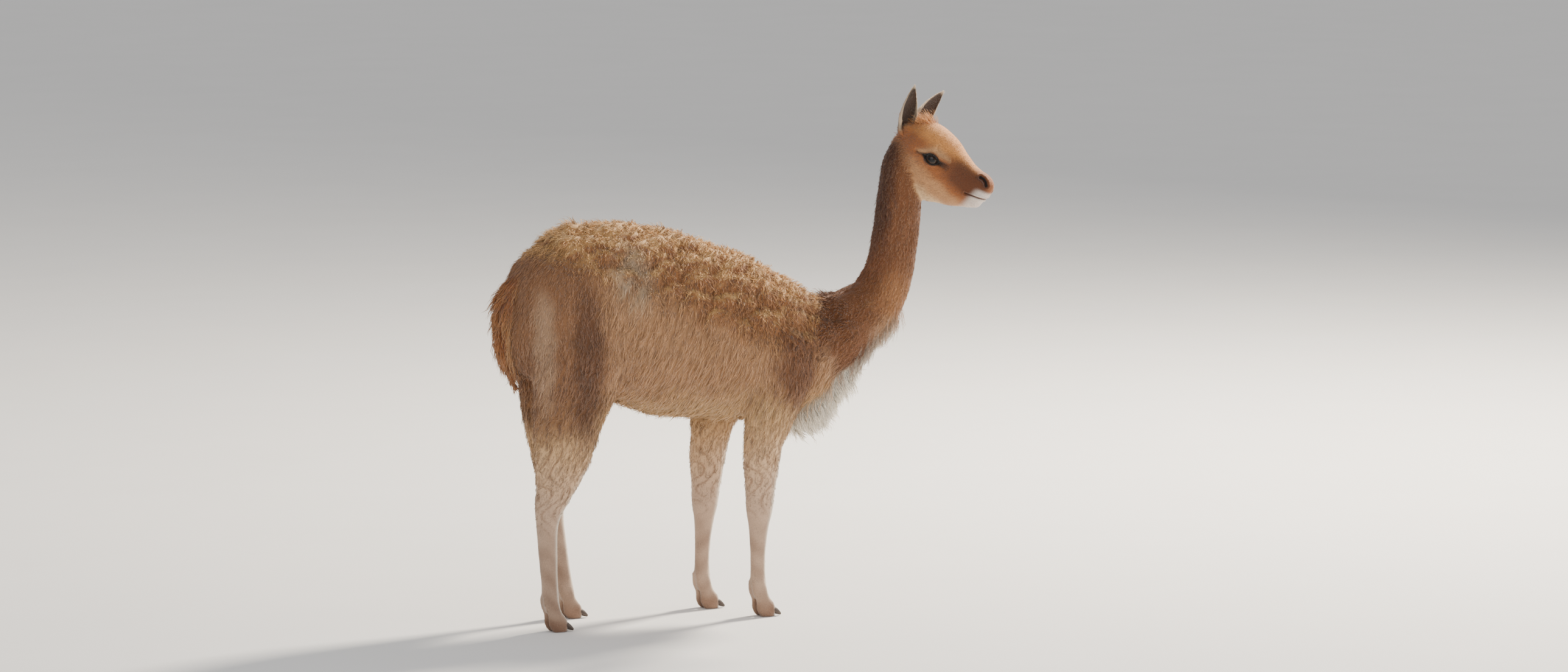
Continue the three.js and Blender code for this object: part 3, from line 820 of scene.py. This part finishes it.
def paint_head(colours, local, weight):
    hx, hy, hz = local.T
    wx, _, wz = (local + 4 * wander(local, 13, 0.5)[:, None]).T
    band = smooth(-26, 4, hz + 0.30 * hx) * (1 - smooth(24, 46, hz + 0.12 * hx)) * smooth(6, 26, np.abs(hy))
    paint(colours, [
        ("face", weight),
        ("forehead", weight * smooth(14, 44, wz + 0.12 * hx) * (1 - smooth(86, 118, hx))),
        ("cheek", weight * (1 - smooth(-44, -14, wz + 0.30 * wx))),
        ("jaw", weight * (1 - smooth(-84, -56, wz + 0.30 * wx))),
        ("muzzle", weight * 0.85 * band * smooth(14, 66, hx)),
        ("lips", weight * 0.85 * smooth(106, 128, hx - 0.35 * (hz + 30)) * (1 - smooth(-17, -5, hz))),
    ])
    for side in SIDES.values():
        a, b, r, out = on_eye(local, side)
        near = (out > 0) & (r < 46)
        rim = 1 - smooth(0.82, 1.12, np.hypot(a / 28, (b - 1 + 0.05 * a) / 13.5))
        brow = np.exp(-((np.hypot(a / 1.5, b + 1) - 21) / 4.5) ** 2) * smooth(0, 12, b - 0.4 * a)
        hole = nostril_gap(local, side)
        paint(colours, [
            ("jaw", weight * near * 0.4 * brow),
            ("black", np.clip(weight * 2, 0, 1) * near * rim),
            ("muzzle", weight * 0.8 * (1 - smooth(4, 10, hole))),
            # Painted shade: black inside the nostril slit
            ("black", weight * (1 - smooth(1.8, 4.2, hole))),
        ])
    # Painted shade: muzzle brown along the crease of the mouth
    paint(colours, [("muzzle", weight * 0.9 * (1 - smooth(0.8, 2.8, mouth_gap(local))))])


def paint_ears(colours, local, weight, inner):
    for hand in SIDES:
        base, rise, wide = ear_frame(hand)[:3]
        v = local - base
        here = weight * (np.linalg.norm(v - rise * EAR_LENGTH / 2, axis=1) < EAR_LENGTH * 0.75)
        s = np.clip(v @ rise / EAR_LENGTH, -0.1, 1)
        half = np.interp(s, EAR_PROFILE[0], EAR_PROFILE[1])
        # Pale hair on the ear's edges and tip, partly painted rim light
        edge = smooth(0.84, 1.0, np.abs(v @ wide) / np.maximum(half, 1)) + smooth(0.9, 0.97, s)
        rim = here * np.clip(edge, 0, 1) * 0.7
        # Painted shade: the inner face of each ear is darkened in its cup
        paint(colours, [("ear", here), ("ear_cup_shade", here * inner), ("rim", rim)])


def describe_skin(skin):
    """Group weights, lie of the hair, place in the atlas and colour, for each point of the skin."""
    points = design_points(skin)
    samples, forms = surface_samples()
    rows = samples[nearest(points, samples[:, :3])[0]]
    ends = neighbours(skin)
    shares = (rows[:, 6:7] == np.arange(len(GROUPS))).astype(float)
    weight = dict(zip(GROUPS, spread(shares, ends, 14).T))
    along = rows[:, 3:6]
    local = body_to_head(points)
    side = np.sign(local[:, 1])[:, None]
    rear = smooth(-150, -260, points[:, 0])[:, None]
    lies = {
        "trunk": np.array([-0.38, 0, -0.92]) * (1 - rear) + np.array([-0.25, 0, -1.0]) * rear,
        "neck": -along + [0.0, 0.0, -0.3],
        "bib": np.array([[0.72, 0, -1.0]]),
        "tail": along,
        "leg": along + [-0.12, 0, -0.2],
        "head": unit(np.hstack([-np.ones_like(side), 0.1 * side, -0.32 + 0 * side])) @ HEAD_TURN.T,
        "ear": along,
    }
    lie = sum(lies[name] * weight[name][:, None] for name in GROUPS)
    normals = normals_of(skin)
    inner = spread(rows[:, 10:11], ends, 2)[:, 0]
    return {
        "points": points,
        "normals": normals,
        "lie": spread(lie, ends, 30),
        "weight": weight,
        "colour": markings(points, weight, normals, inner),
        "t": rows[:, 7],
        "angle": rows[:, 8],
        "form": rows[:, 9],
        "forms": forms,
        "local": local,
    }


def colour_skin(skin, fields):
    """The skin carries the coat's markings, darker where long hair shades it."""
    weight = fields["weight"]
    shin = weight["leg"] * (1 - smooth(380, 480, fields["points"][:, 2]))
    short = np.clip(weight["head"] + weight["ear"] + shin, 0, 1)
    deep = UNDERCOAT_SHADE + (1 - UNDERCOAT_SHADE) * 0.75 * short
    store_colours(skin.data, np.hstack([fields["colour"] * deep[:, None], np.ones((len(deep), 1))]))


def store_colours(mesh, rgba):
    layer = mesh.color_attributes.new("coat", "FLOAT_COLOR", "POINT")
    layer.data.foreach_set("color", np.ascontiguousarray(rgba, dtype=np.float32).ravel())


# Coat
def triangle_mesh(name, verts, triangles, uv, rgba):
    mesh = bpy.data.meshes.new(name)
    mesh.vertices.add(len(verts))
    mesh.vertices.foreach_set("co", np.ascontiguousarray(verts, dtype=np.float32).ravel())
    mesh.loops.add(len(triangles) * 3)
    mesh.loops.foreach_set("vertex_index", triangles.ravel().astype(np.int32))
    mesh.polygons.add(len(triangles))
    mesh.polygons.foreach_set("loop_start", np.arange(0, len(triangles) * 3, 3, dtype=np.int32))
    mesh.update(calc_edges=True)
    layer = mesh.uv_layers.new(name="OFBake")
    layer.data.foreach_set("uv", uv[triangles.ravel()].astype(np.float32).ravel())
    store_colours(mesh, rgba)
    piece = place_object(name, mesh)
    shade_smooth(piece)
    return piece


def tuft_faces(bands):
    """Triangles of one tuft: a closed foot, 3-sided bands and a point."""
    faces = [(2, 1, 0)]
    last = 3 * (bands - 1)
    for a in range(0, last, 3):
        for j, k in ((0, 1), (1, 2), (2, 0)):
            faces += [(a + j, a + k, a + 3 + k), (a + j, a + 3 + k, a + 3 + j)]
    for j, k in ((0, 1), (1, 2), (2, 0)):
        faces.append((last + j, last + k, last + 3))
    return np.array(faces)


def gather(roots, look, lie, length, rng):
    """Draws tufts into locks: their new lie and length, the lock's hue and the reach from its middle."""
    spacing, stretch, pull = look["clump"]
    places = roots["points"] * np.array(stretch)
    centres = thin_out(places, spacing, rng)
    index, _ = nearest(places, places[centres])
    lock = centres[index]
    lock_length = (look["length"] * roots["size"][lock])[:, None]
    target = roots["points"][lock] + unit(roots["lie"][lock]) * lock_length * 1.05
    target += roots["normals"][lock] * (lock_length * look["lift"] * 0.9)
    lie = unit(lie) * (1 - pull) + unit(target - roots["points"]) * pull
    hue = rng.standard_normal(len(centres))[index]
    reach = np.linalg.norm((roots["points"] - roots["points"][lock]) * stretch, axis=1) / spacing
    return lie, length * (1.12 - 0.35 * np.clip(reach, 0, 1)), hue, reach


def grow(name, roots, look, rng, slot, material):
    """Makes one coat piece: a thin, tapered, closed tuft on each root, 3-sided, along the lie."""
    n = len(roots["points"])
    bands = look["bands"]
    length = look["length"] * (1 + 0.25 * rng.standard_normal(n))
    length = length.clip(0.45 * look["length"], 1.7 * look["length"]) * roots["size"]
    width = look["width"] * (0.75 + 0.5 * rng.random(n))
    lift = look["lift"] * (0.6 + 0.8 * rng.random(n))
    out = roots["normals"]
    lie = roots["lie"] + look["mess"] * rng.standard_normal((n, 3))
    hue, reach = np.zeros(n), np.full(n, 0.5)
    if look["clump"]:
        lie, length, hue, reach = gather(roots, look, lie, length, rng)
    lie = unit(lie - out * np.sum(lie * out, axis=1, keepdims=True))
    across = unit(np.cross(lie, out) + out * (0.5 * rng.standard_normal(n)[:, None]))
    ridge = np.cross(across, lie)
    phase = rng.random(n) * 2 * np.pi
    turns, swing = look["wave"]
    s = np.linspace(0, 1, bands + 1)
    rings = []
    for share in s:
        turn = phase + 2 * np.pi * turns * share
        centre = roots["points"] - out * look["sink"]
        centre = centre + lie * (length * share * (1 - 0.35 * lift * share))[:, None]
        centre = centre + out * (length * lift * (1 - (1 - share) ** 2))[:, None]
        centre = centre + np.array([0, 0, -1.0]) * (length * look["droop"] * share**2)[:, None]
        centre = centre + across * (swing * length * share * np.sin(turn))[:, None]
        centre = centre + out * (0.6 * swing * length * share * np.cos(turn))[:, None]
        half = (width / 2 * (0.8 + 0.6 * share) * (1 - share) ** 0.6)[:, None]
        corners = [centre - across * half, centre + ridge * half * 0.45, centre + across * half]
        rings.append(np.stack(corners, axis=1))
    verts = np.concatenate(rings[:-1] + [centre[:, None, :]], axis=1)
    verts[:, :, 2] = np.maximum(verts[:, :, 2], HAIR_GROUND)
    per = 3 * bands + 1
    triangles = (np.arange(n)[:, None, None] * per + tuft_faces(bands)[None]).reshape(-1, 3)
    if len(triangles) >= MOST_TRIANGLES:
        raise ValueError(f"{name} has {len(triangles)} triangles")
    share_row = np.concatenate([np.repeat(s[:-1], 3), [1.0]])
    local_u = np.concatenate([np.tile([-0.5, 0, 0.5], bands), [0.0]])
    uv = roots["uv"][:, None, :] + TUFT_PATCH * np.stack([local_u, share_row - 0.5], axis=1)[None]
    shade = 1 + look["hue"] * 0.5 * hue + look["hue"] * rng.standard_normal(n)
    # Painted shade: tufts darker towards the edges of their lock, by deep
    shade = shade * (1 - look["deep"] * np.clip(reach, 0, 1) ** 2)
    light = look["root_dark"] + (1 - look["root_dark"]) * share_row ** 0.8
    base = roots["colour"][:, None, :] * (shade[:, None] * light[None, :]).clip(0.2, 1.7)[:, :, None]
    # Tips pale towards the look's tip colour; the golden tips of the plain look are painted sunlight
    base = base + (PALETTE[look["tip"]] - base) * (look["tip_pale"] * share_row[None, :, None] ** 2)
    rgba = np.concatenate([base, np.ones((n, per, 1))], axis=2).reshape(-1, 4)
    piece = triangle_mesh(name, to_scene(verts.reshape(-1, 3)), triangles, uv.reshape(-1, 2), rgba)
    hand_in(piece, material, slot)


def take_roots(skin, fields, weight, spacing, rng):
    """Evenly spread roots over the skin, where weight, a number for each point, is above chance."""
    mesh = skin.data
    mesh.calc_loop_triangles()
    tri = np.empty(len(mesh.loop_triangles) * 3, int)
    mesh.loop_triangles.foreach_get("vertices", tri)
    tri = tri.reshape(-1, 3)
    p = fields["points"]
    chance = weight[tri].mean(axis=1)
    tri, chance = tri[chance > 0.02], chance[chance > 0.02]
    area = np.linalg.norm(np.cross(p[tri[:, 1]] - p[tri[:, 0]], p[tri[:, 2]] - p[tri[:, 0]]), axis=1) / 2
    total = area * chance
    count = int(2.2 * total.sum() / spacing**2)
    pick = np.searchsorted(np.cumsum(total), rng.random(count) * total.sum()).clip(0, len(tri) - 1)
    u, v = rng.random((2, count))
    flip = u + v > 1
    u[flip], v[flip] = 1 - u[flip], 1 - v[flip]
    mix = np.stack([1 - u - v, u, v], axis=1)
    rows = tri[pick]

    def carry(values):
        return np.einsum("nk,nk...->n...", mix, values[rows])

    places = carry(p)
    keep = thin_out(places, spacing, rng)
    rows, mix, places = rows[keep], mix[keep], places[keep]
    angle = np.arctan2(carry(np.sin(fields["angle"])), carry(np.cos(fields["angle"])))
    angle = angle / (2 * np.pi) + 0.5
    columns = math.ceil(math.sqrt(fields["forms"]))
    form = fields["form"][rows[:, 0]]
    u = (form % columns + CELL_EDGE + CELL_SPAN * angle) / columns
    v = (form // columns + CELL_EDGE + CELL_SPAN * carry(fields["t"]).clip(0, 1)) / columns
    return {
        "points": places,
        "normals": unit(carry(fields["normals"])),
        "lie": unit(carry(fields["lie"])),
        "colour": carry(fields["colour"]),
        "uv": np.stack([u, v], axis=1),
        "local": body_to_head(places),
        "size": carry(fields["size"]),
    }


# How each part's hair looks: length, width and sink of the root in millimetres, lift and droop as shares of
# length, mess of the lie, wave as turns and swing, and clump as spacing, stretch and pull
PLAIN = dict(bands=2, sink=1.5, mess=0.22, droop=0.0, wave=(1.0, 0.06), clump=None, hue=0.10, deep=0.25,
             root_dark=0.72, tip_pale=0.15, tip="sunlit_golden")
LOOKS = {
    "mantle": dict(length=18, width=2.1, lift=0.48, wave=(1.0, 0.16), clump=(15, (0.8, 1, 1), 0.74), hue=0.2,
                   deep=0.62, mess=0.35),
    "flank": dict(length=30, width=2.3, lift=0.12, clump=(14, (1, 1, 0.3), 0.6), tip="belly", deep=0.35,
                  wave=(0.8, 0.07)),
    "haunch": dict(length=19, width=2.2, lift=0.2, clump=(13, (1, 1, 0.45), 0.6), tip="rose", wave=(0.8, 0.1),
                   deep=0.4),
    "neck": dict(length=9.5, width=1.6, lift=0.24, clump=(11, (1, 1, 0.7), 0.6), mess=0.15, wave=(0.7, 0.06),
                 hue=0.1, sink=1.0),
    "nape": dict(length=12, width=1.6, lift=0.36, clump=(12, (1, 1, 0.8), 0.6), mess=0.28, tip="rust"),
    "bib": dict(length=37, width=2.0, lift=0.46, clump=(17, (1, 1, 0.5), 0.72), bands=4, tip="white",
                wave=(1.2, 0.07), droop=0.06, root_dark=0.8, deep=0.4),
    "tail": dict(length=44, width=2.6, lift=0.14, clump=(18, (1, 1, 0.35), 0.6), bands=4, wave=(1.6, 0.06),
                 deep=0.5, tip_pale=0.3),
    "leg": dict(length=8, width=1.5, lift=0.14, clump=(8, (1, 1, 0.5), 0.5), bands=1, tip="white"),
    "head": dict(length=5.5, width=1.05, lift=0.14, bands=1, mess=0.12, root_dark=0.85, hue=0.07,
                 tip_pale=0.1, sink=0.5),
    "crown": dict(length=19, width=1.4, lift=0.65, mess=0.3, clump=(9, (1, 1, 1), 0.5), sink=0.8),
    "lash": dict(length=8, width=0.7, lift=-0.1, bands=3, mess=0.08, sink=0.3, hue=0.05, tip_pale=0.0),
    "ear": dict(length=5.5, width=1.1, lift=0.2, bands=1, mess=0.15, sink=0.4, root_dark=0.85, tip="rim"),
}


def hair_size(fields):
    """Length of the hair as a share of its look's own length."""
    w, z, hx = fields["weight"], fields["points"][:, 2], fields["local"][:, 0]
    size = 1 - 0.58 * w["leg"] * (1 - smooth(250, 480, z)) * smooth(225, 235, z)
    size *= 1 - 0.25 * w["neck"] * smooth(850, 980, z)
    size *= 1 + 0.35 * w["head"] * (1 - smooth(-60, -20, hx)) - 0.35 * w["head"] * smooth(70, 110, hx)
    size *= 1 - 0.45 * w["tail"] * (1 - smooth(540, 640, z))
    size *= 1 - 0.30 * w["bib"] * (1 - smooth(400, 470, z))
    size *= 1 - 0.45 * ruff(fields["points"], w, fields["normals"])
    return size * (1 + 0.25 * wander(fields["points"], 31, 4.0))


def grow_coat(skin, fields, materials):
    rng = np.random.default_rng(41)
    fields["size"] = hair_size(fields)
    w, p, local = fields["weight"], fields["points"], fields["local"]
    above = mantle_weight(p)
    hair = np.ones(len(p))
    for side in SIDES.values():
        a, b, r, out = on_eye(local, side)
        hair *= 1 - ((out > 0) & (r < 30) & (eye_opening(a, b) > -1.8))
        hair *= nostril_gap(local, side) > 4.5
    hair *= mouth_gap(local) > 2.4
    rear = smooth(-170, -240, p[:, 0])
    low = 1 - smooth(225, 290, p[:, 2])
    nape = w["neck"] * smooth(0.3, 0.8, -fields["normals"][:, 0]) * smooth(700, 800, p[:, 2])
    crown = w["head"] * patch(local, (-72, 0, 56), (46, 32, 36))
    climb = ruff(p, w, fields["normals"])
    # Name, where it grows, spacing, slot, and where it is halved: whose place, axis and value
    plan = [
        ("mantle", above * (1 - w["tail"]), 4.1, "fleece", ("points", 0, 20)),
        ("flank", (1 - above) * w["trunk"] * (1 - rear), 3.9, "fleece", ("points", 1, 0)),
        ("haunch", (1 - above) * (w["trunk"] * rear + w["leg"] * (1 - low)), 3.8, "fleece", ("points", 1, 0)),
        ("neck", w["neck"] * (1 - above) * (1 - climb), 2.5, "neck_coat", ("points", 2, 800)),
        ("nape", nape, 3.4, "neck_coat", None),
        ("bib", np.clip(w["bib"] + climb, 0, 1), 3.2, "neck_coat", None),
        ("tail", w["tail"], 3.4, "tail_hair", None),
        ("leg", w["leg"] * low, 2.5, "leg_coat", ("points", 1, 0)),
        ("head", w["head"] * hair * (1 - crown), 1.7, "head_coat", ("local", 1, 0)),
        ("crown", crown, 2.4, "head_coat", None),
        ("ear", w["ear"], 1.8, "ear_coat", None),
    ]
    lashes(materials["head_coat"], rng)
    for name, weight, spacing, slot, halved in plan:
        roots = take_roots(skin, fields, weight, spacing, rng)
        parts = [("", np.ones(len(roots["points"]), bool))]
        if halved:
            place, axis, value = halved
            first = roots[place][:, axis] > value
            parts = [("_a", first), ("_b", ~first)]
        for tag, chosen in parts:
            part = {key: values[chosen] for key, values in roots.items()}
            grow(f"coat_{name}{tag}", part, {**PLAIN, **LOOKS[name]}, rng, slot, materials[slot])


def lashes(material, rng):
    """Long dark lashes along each upper lid, out and a little down."""
    for hand, side in SIDES.items():
        centre, ahead, up, outward = eye_axes(side)
        a = np.linspace(-15, 18, LASHES) + 0.4 * rng.standard_normal(LASHES)
        share = lid_share(a)
        turn, rise = a / EYE_RADIUS, (upper_lid(a) + 0.8) / EYE_RADIUS
        spot = unit(np.stack([np.sin(turn), np.tan(rise), np.cos(turn)], 1) @ np.stack([ahead, up, outward]))
        lie = unit(spot * 0.55 + ahead * 0.3 - up * 0.6)
        roots = {
            "points": head_to_body(centre + spot * (EYE_RADIUS + 1.6)),
            "normals": unit(np.cross(np.cross(lie, up), lie)) @ HEAD_TURN.T,
            "lie": lie @ HEAD_TURN.T,
            "colour": np.tile(PALETTE["black"], (LASHES, 1)),
            "uv": np.stack([0.94 + 0.05 * share, np.full(LASHES, 0.97)], axis=1),
            "size": 0.6 + 0.4 * share,
        }
        grow(f"lashes_{hand}", roots, {**PLAIN, **LOOKS["lash"]}, rng, "head_coat", material)


# Materials
def fill(material, target, **values):
    """Sets inputs by name, with underscores for spaces; the output of a node is linked."""
    for socket, value in values.items():
        entry = target.inputs[socket.replace("_", " ")]
        if isinstance(value, bpy.types.NodeSocket):
            material.node_tree.links.new(value, entry)
        else:
            entry.default_value = value
    return target


def new_material(name, **values):
    material = bpy.data.materials.new(name)
    material.use_nodes = True
    shader = material.node_tree.nodes["Principled BSDF"]
    return material, fill(material, shader, **values)


def add_node(material, kind, **values):
    return fill(material, material.node_tree.nodes.new("ShaderNode" + kind), **values)


def add_noise(material, stretch=None, **values):
    """Noise fixed to the object."""
    place = add_node(material, "TexCoord").outputs["Object"]
    if stretch:
        place = add_node(material, "Mapping", Vector=place, Scale=stretch).outputs["Vector"]
    return add_node(material, "TexNoise", Vector=place, **values).outputs["Fac"]


def add_streaks(material, shader, noise, **levels):
    """The stored colour, made lighter and darker by the noise."""
    stored = add_node(material, "Attribute")
    stored.attribute_name = "coat"
    level = add_node(material, "MapRange", Value=noise, **levels)
    scale = add_node(material, "VectorMath")
    scale.operation = "SCALE"
    fill(material, scale, Vector=stored.outputs["Color"], Scale=level.outputs["Result"])
    fill(material, shader, Base_Color=scale.outputs["Vector"])


def add_tones(material, shader, noise, first, last):
    """A colour between two, by the noise."""
    ramp = add_node(material, "ValToRGB", Fac=noise)
    for element, colour in zip(ramp.color_ramp.elements, (first, last)):
        element.color = (*colour, 1)
    fill(material, shader, Base_Color=ramp.outputs["Color"])


def add_relief(material, shader, noise, strength, distance):
    relief = add_node(material, "Bump", Strength=strength, Distance=distance, Height=noise)
    fill(material, shader, Normal=relief.outputs["Normal"])


def coat_material(name, grain, contrast=0.18, bump=0.0):
    """Hair: the stored colour, with finer light and dark streaks over it."""
    material, shader = new_material(
        name, Roughness=0.72, Specular_IOR_Level=0.25, Sheen_Weight=0.25, Sheen_Roughness=0.45)
    noise = add_noise(material, Scale=grain, Detail=4)
    add_streaks(material, shader, noise, From_Min=0.3, From_Max=0.7, To_Min=1 - contrast, To_Max=1 + contrast)
    if bump:
        add_relief(material, shader, noise, bump, 0.002)
    return material


def horn_material():
    """Dark nails, a little ridged along their length."""
    material, shader = new_material("nail_horn", Roughness=0.45, Specular_IOR_Level=0.4)
    noise = add_noise(material, (40, 260, 260), Scale=1.0, Detail=5)
    add_tones(material, shader, noise, tint(0.13, 0.10, 0.09), tint(0.36, 0.30, 0.26))
    add_relief(material, shader, noise, 0.4, 0.001)
    return material


def eye_material():
    material, shader = new_material(
        "eye_wet", Roughness=0.2, Specular_IOR_Level=0.2, Coat_Weight=0.18, Coat_Roughness=0.05)
    add_streaks(material, shader, add_noise(material, Scale=600), To_Min=0.6, To_Max=1.4)
    return material


# Eyes and nails
def make_eye(hand, material):
    """A dark, wet eyeball with a bulging front and a level, oblong pupil."""
    centre, ahead, up, outward = eye_axes(SIDES[hand])
    verts, faces = ellipsoid((0, 0, 0), (1, 1, 1), 48, 72)
    spot = unit(verts)[:, [1, 2, 0]]
    facing = spot[:, 2]
    bulge = 1 + 0.035 * smooth(0.72, 0.95, facing)
    local = centre + EYE_RADIUS * bulge[:, None] * (spot @ np.stack([ahead, up, outward]))
    piece = mesh_object(f"eyeball_{hand}", to_scene(head_to_body(local)), faces)
    face_outward(piece)
    a = EYE_RADIUS * np.arctan2(spot[:, 0], facing)
    b = EYE_RADIUS * np.arctan2(spot[:, 1], facing)
    iris = 1 - smooth(12.5, 15.0, np.hypot(a, b))
    pupil = 1 - smooth(0.85, 1.15, np.hypot(a / 8.5, b / 4.2))
    colours = np.tile(tint(0.06, 0.045, 0.04), (len(spot), 1))
    rays = 1 + 0.35 * np.sin(22 * np.arctan2(b, a))
    colours += (tint(0.15, 0.095, 0.06) * rays[:, None] - colours) * iris[:, None]
    colours += (tint(0.03, 0.035, 0.05) - colours) * (pupil * iris)[:, None]
    store_colours(piece.data, np.hstack([colours, np.ones((len(spot), 1))]))
    hand_in(piece, material, "eye", f"eye_{hand}")


def make_nails(material):
    for leg, limb in LEGS.items():
        outer = SIDES[leg.split("_")[1]]
        for toe_side, label in ((outer, "outer"), (-outer, "inner")):
            verts, faces = nail_limb(limb, toe_side).loft(22, 20)
            verts[:, 2] = np.maximum(verts[:, 2], HAIR_GROUND)
            piece = mesh_object(f"nail_{leg}_{label}", to_scene(verts), faces)
            hand_in(piece, material, "nail", f"{leg}_nail_{label}")


# Stage: name, place, size, power and colour of each light
LIGHTS = [
    ("sun_box", (4.2, 1.7, 4.4), 0.9, 1050, (1.0, 0.90, 0.76)),
    ("front_fill", (-2.0, -5.0, 2.6), 4.0, 110, (0.96, 0.97, 1.0)),
    ("side_fill", (5.5, -2.2, 1.8), 2.5, 90, (1.0, 0.95, 0.9)),
]
LIT_PLACE = Vector((0, 0, 0.6))


def floor_and_light():
    corners = [(x * FLOOR, y * FLOOR, 0) for x, y in ((-1, -1), (1, -1), (1, 1), (-1, 1))]
    floor = mesh_object("floor", corners, [(0, 1, 2, 3)])
    material, shader = new_material("floor_plain", Roughness=0.8, Specular_IOR_Level=0.2)
    add_tones(material, shader, add_noise(material, Scale=3), (0.84, 0.83, 0.81), (0.88, 0.87, 0.85))
    floor.data.materials.append(material)
    floor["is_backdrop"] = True
    world = bpy.data.worlds.new("studio")
    world.use_nodes = True
    fill(world, world.node_tree.nodes["Background"], Color=(0.86, 0.86, 0.87, 1), Strength=0.7)
    bpy.context.scene.world = world
    for name, place, size, power, colour in LIGHTS:
        lamp = bpy.data.lights.new(name, "AREA")
        lamp.energy = power
        lamp.size = size
        lamp.color = colour
        light = place_object(name, lamp)
        light.location = place
        light.rotation_euler = (LIT_PLACE - Vector(place)).to_track_quat("-Z", "Y").to_euler()


def camera():
    """The photograph's view: far off, to the animal's right and a little behind, slightly above."""
    turn, rise = math.radians(CAMERA_AZIMUTH), math.radians(CAMERA_ELEVATION)
    back = Vector((math.sin(turn) * math.cos(rise), -math.cos(turn) * math.cos(rise), math.sin(rise)))
    right = Vector((math.cos(turn), math.sin(turn), 0))
    up = back.cross(right)
    lens = bpy.data.cameras.new("camera")
    lens.sensor_width = SENSOR
    lens.lens = SENSOR * CAMERA_DISTANCE * PIXELS_PER_METRE / PHOTO_WIDTH
    lens.clip_end = 100
    aim = Vector((0, 0, 0.5)) + Vector(SHIFT) + right * AIM[0] + up * AIM[1]
    piece = place_object("camera", lens)
    turned = Matrix((right, up, back)).transposed().to_4x4()
    piece.matrix_world = Matrix.Translation(aim + back * CAMERA_DISTANCE) @ turned
    bpy.context.scene.camera = piece


camera()
skin = build_skin()
fields = describe_skin(skin)
colour_skin(skin, fields)
materials = {
    "fleece": coat_material("fleece_wool", 260),
    "neck_coat": coat_material("neck_wool", 300),
    "head_coat": coat_material("head_hair", 420, 0.12),
    "ear_coat": coat_material("ear_hair", 420, 0.12),
    "leg_coat": coat_material("leg_hair", 320, 0.12),
    "tail_hair": coat_material("tail_locks", 200, 0.2),
}
flesh = [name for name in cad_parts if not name.startswith("eye_") and "_nail_" not in name]
hand_in(skin, coat_material("skin_undercoat", 520, 0.15, bump=0.6), "fleece", *flesh)
wet = eye_material()
for hand in SIDES:
    make_eye(hand, wet)
make_nails(horn_material())
grow_coat(skin, fields, materials)
floor_and_light()

sizes = {"cad": cad_box, "visual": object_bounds()}
{key: [[float(v) for v in corner] for corner in box] for key, box in sizes.items()}
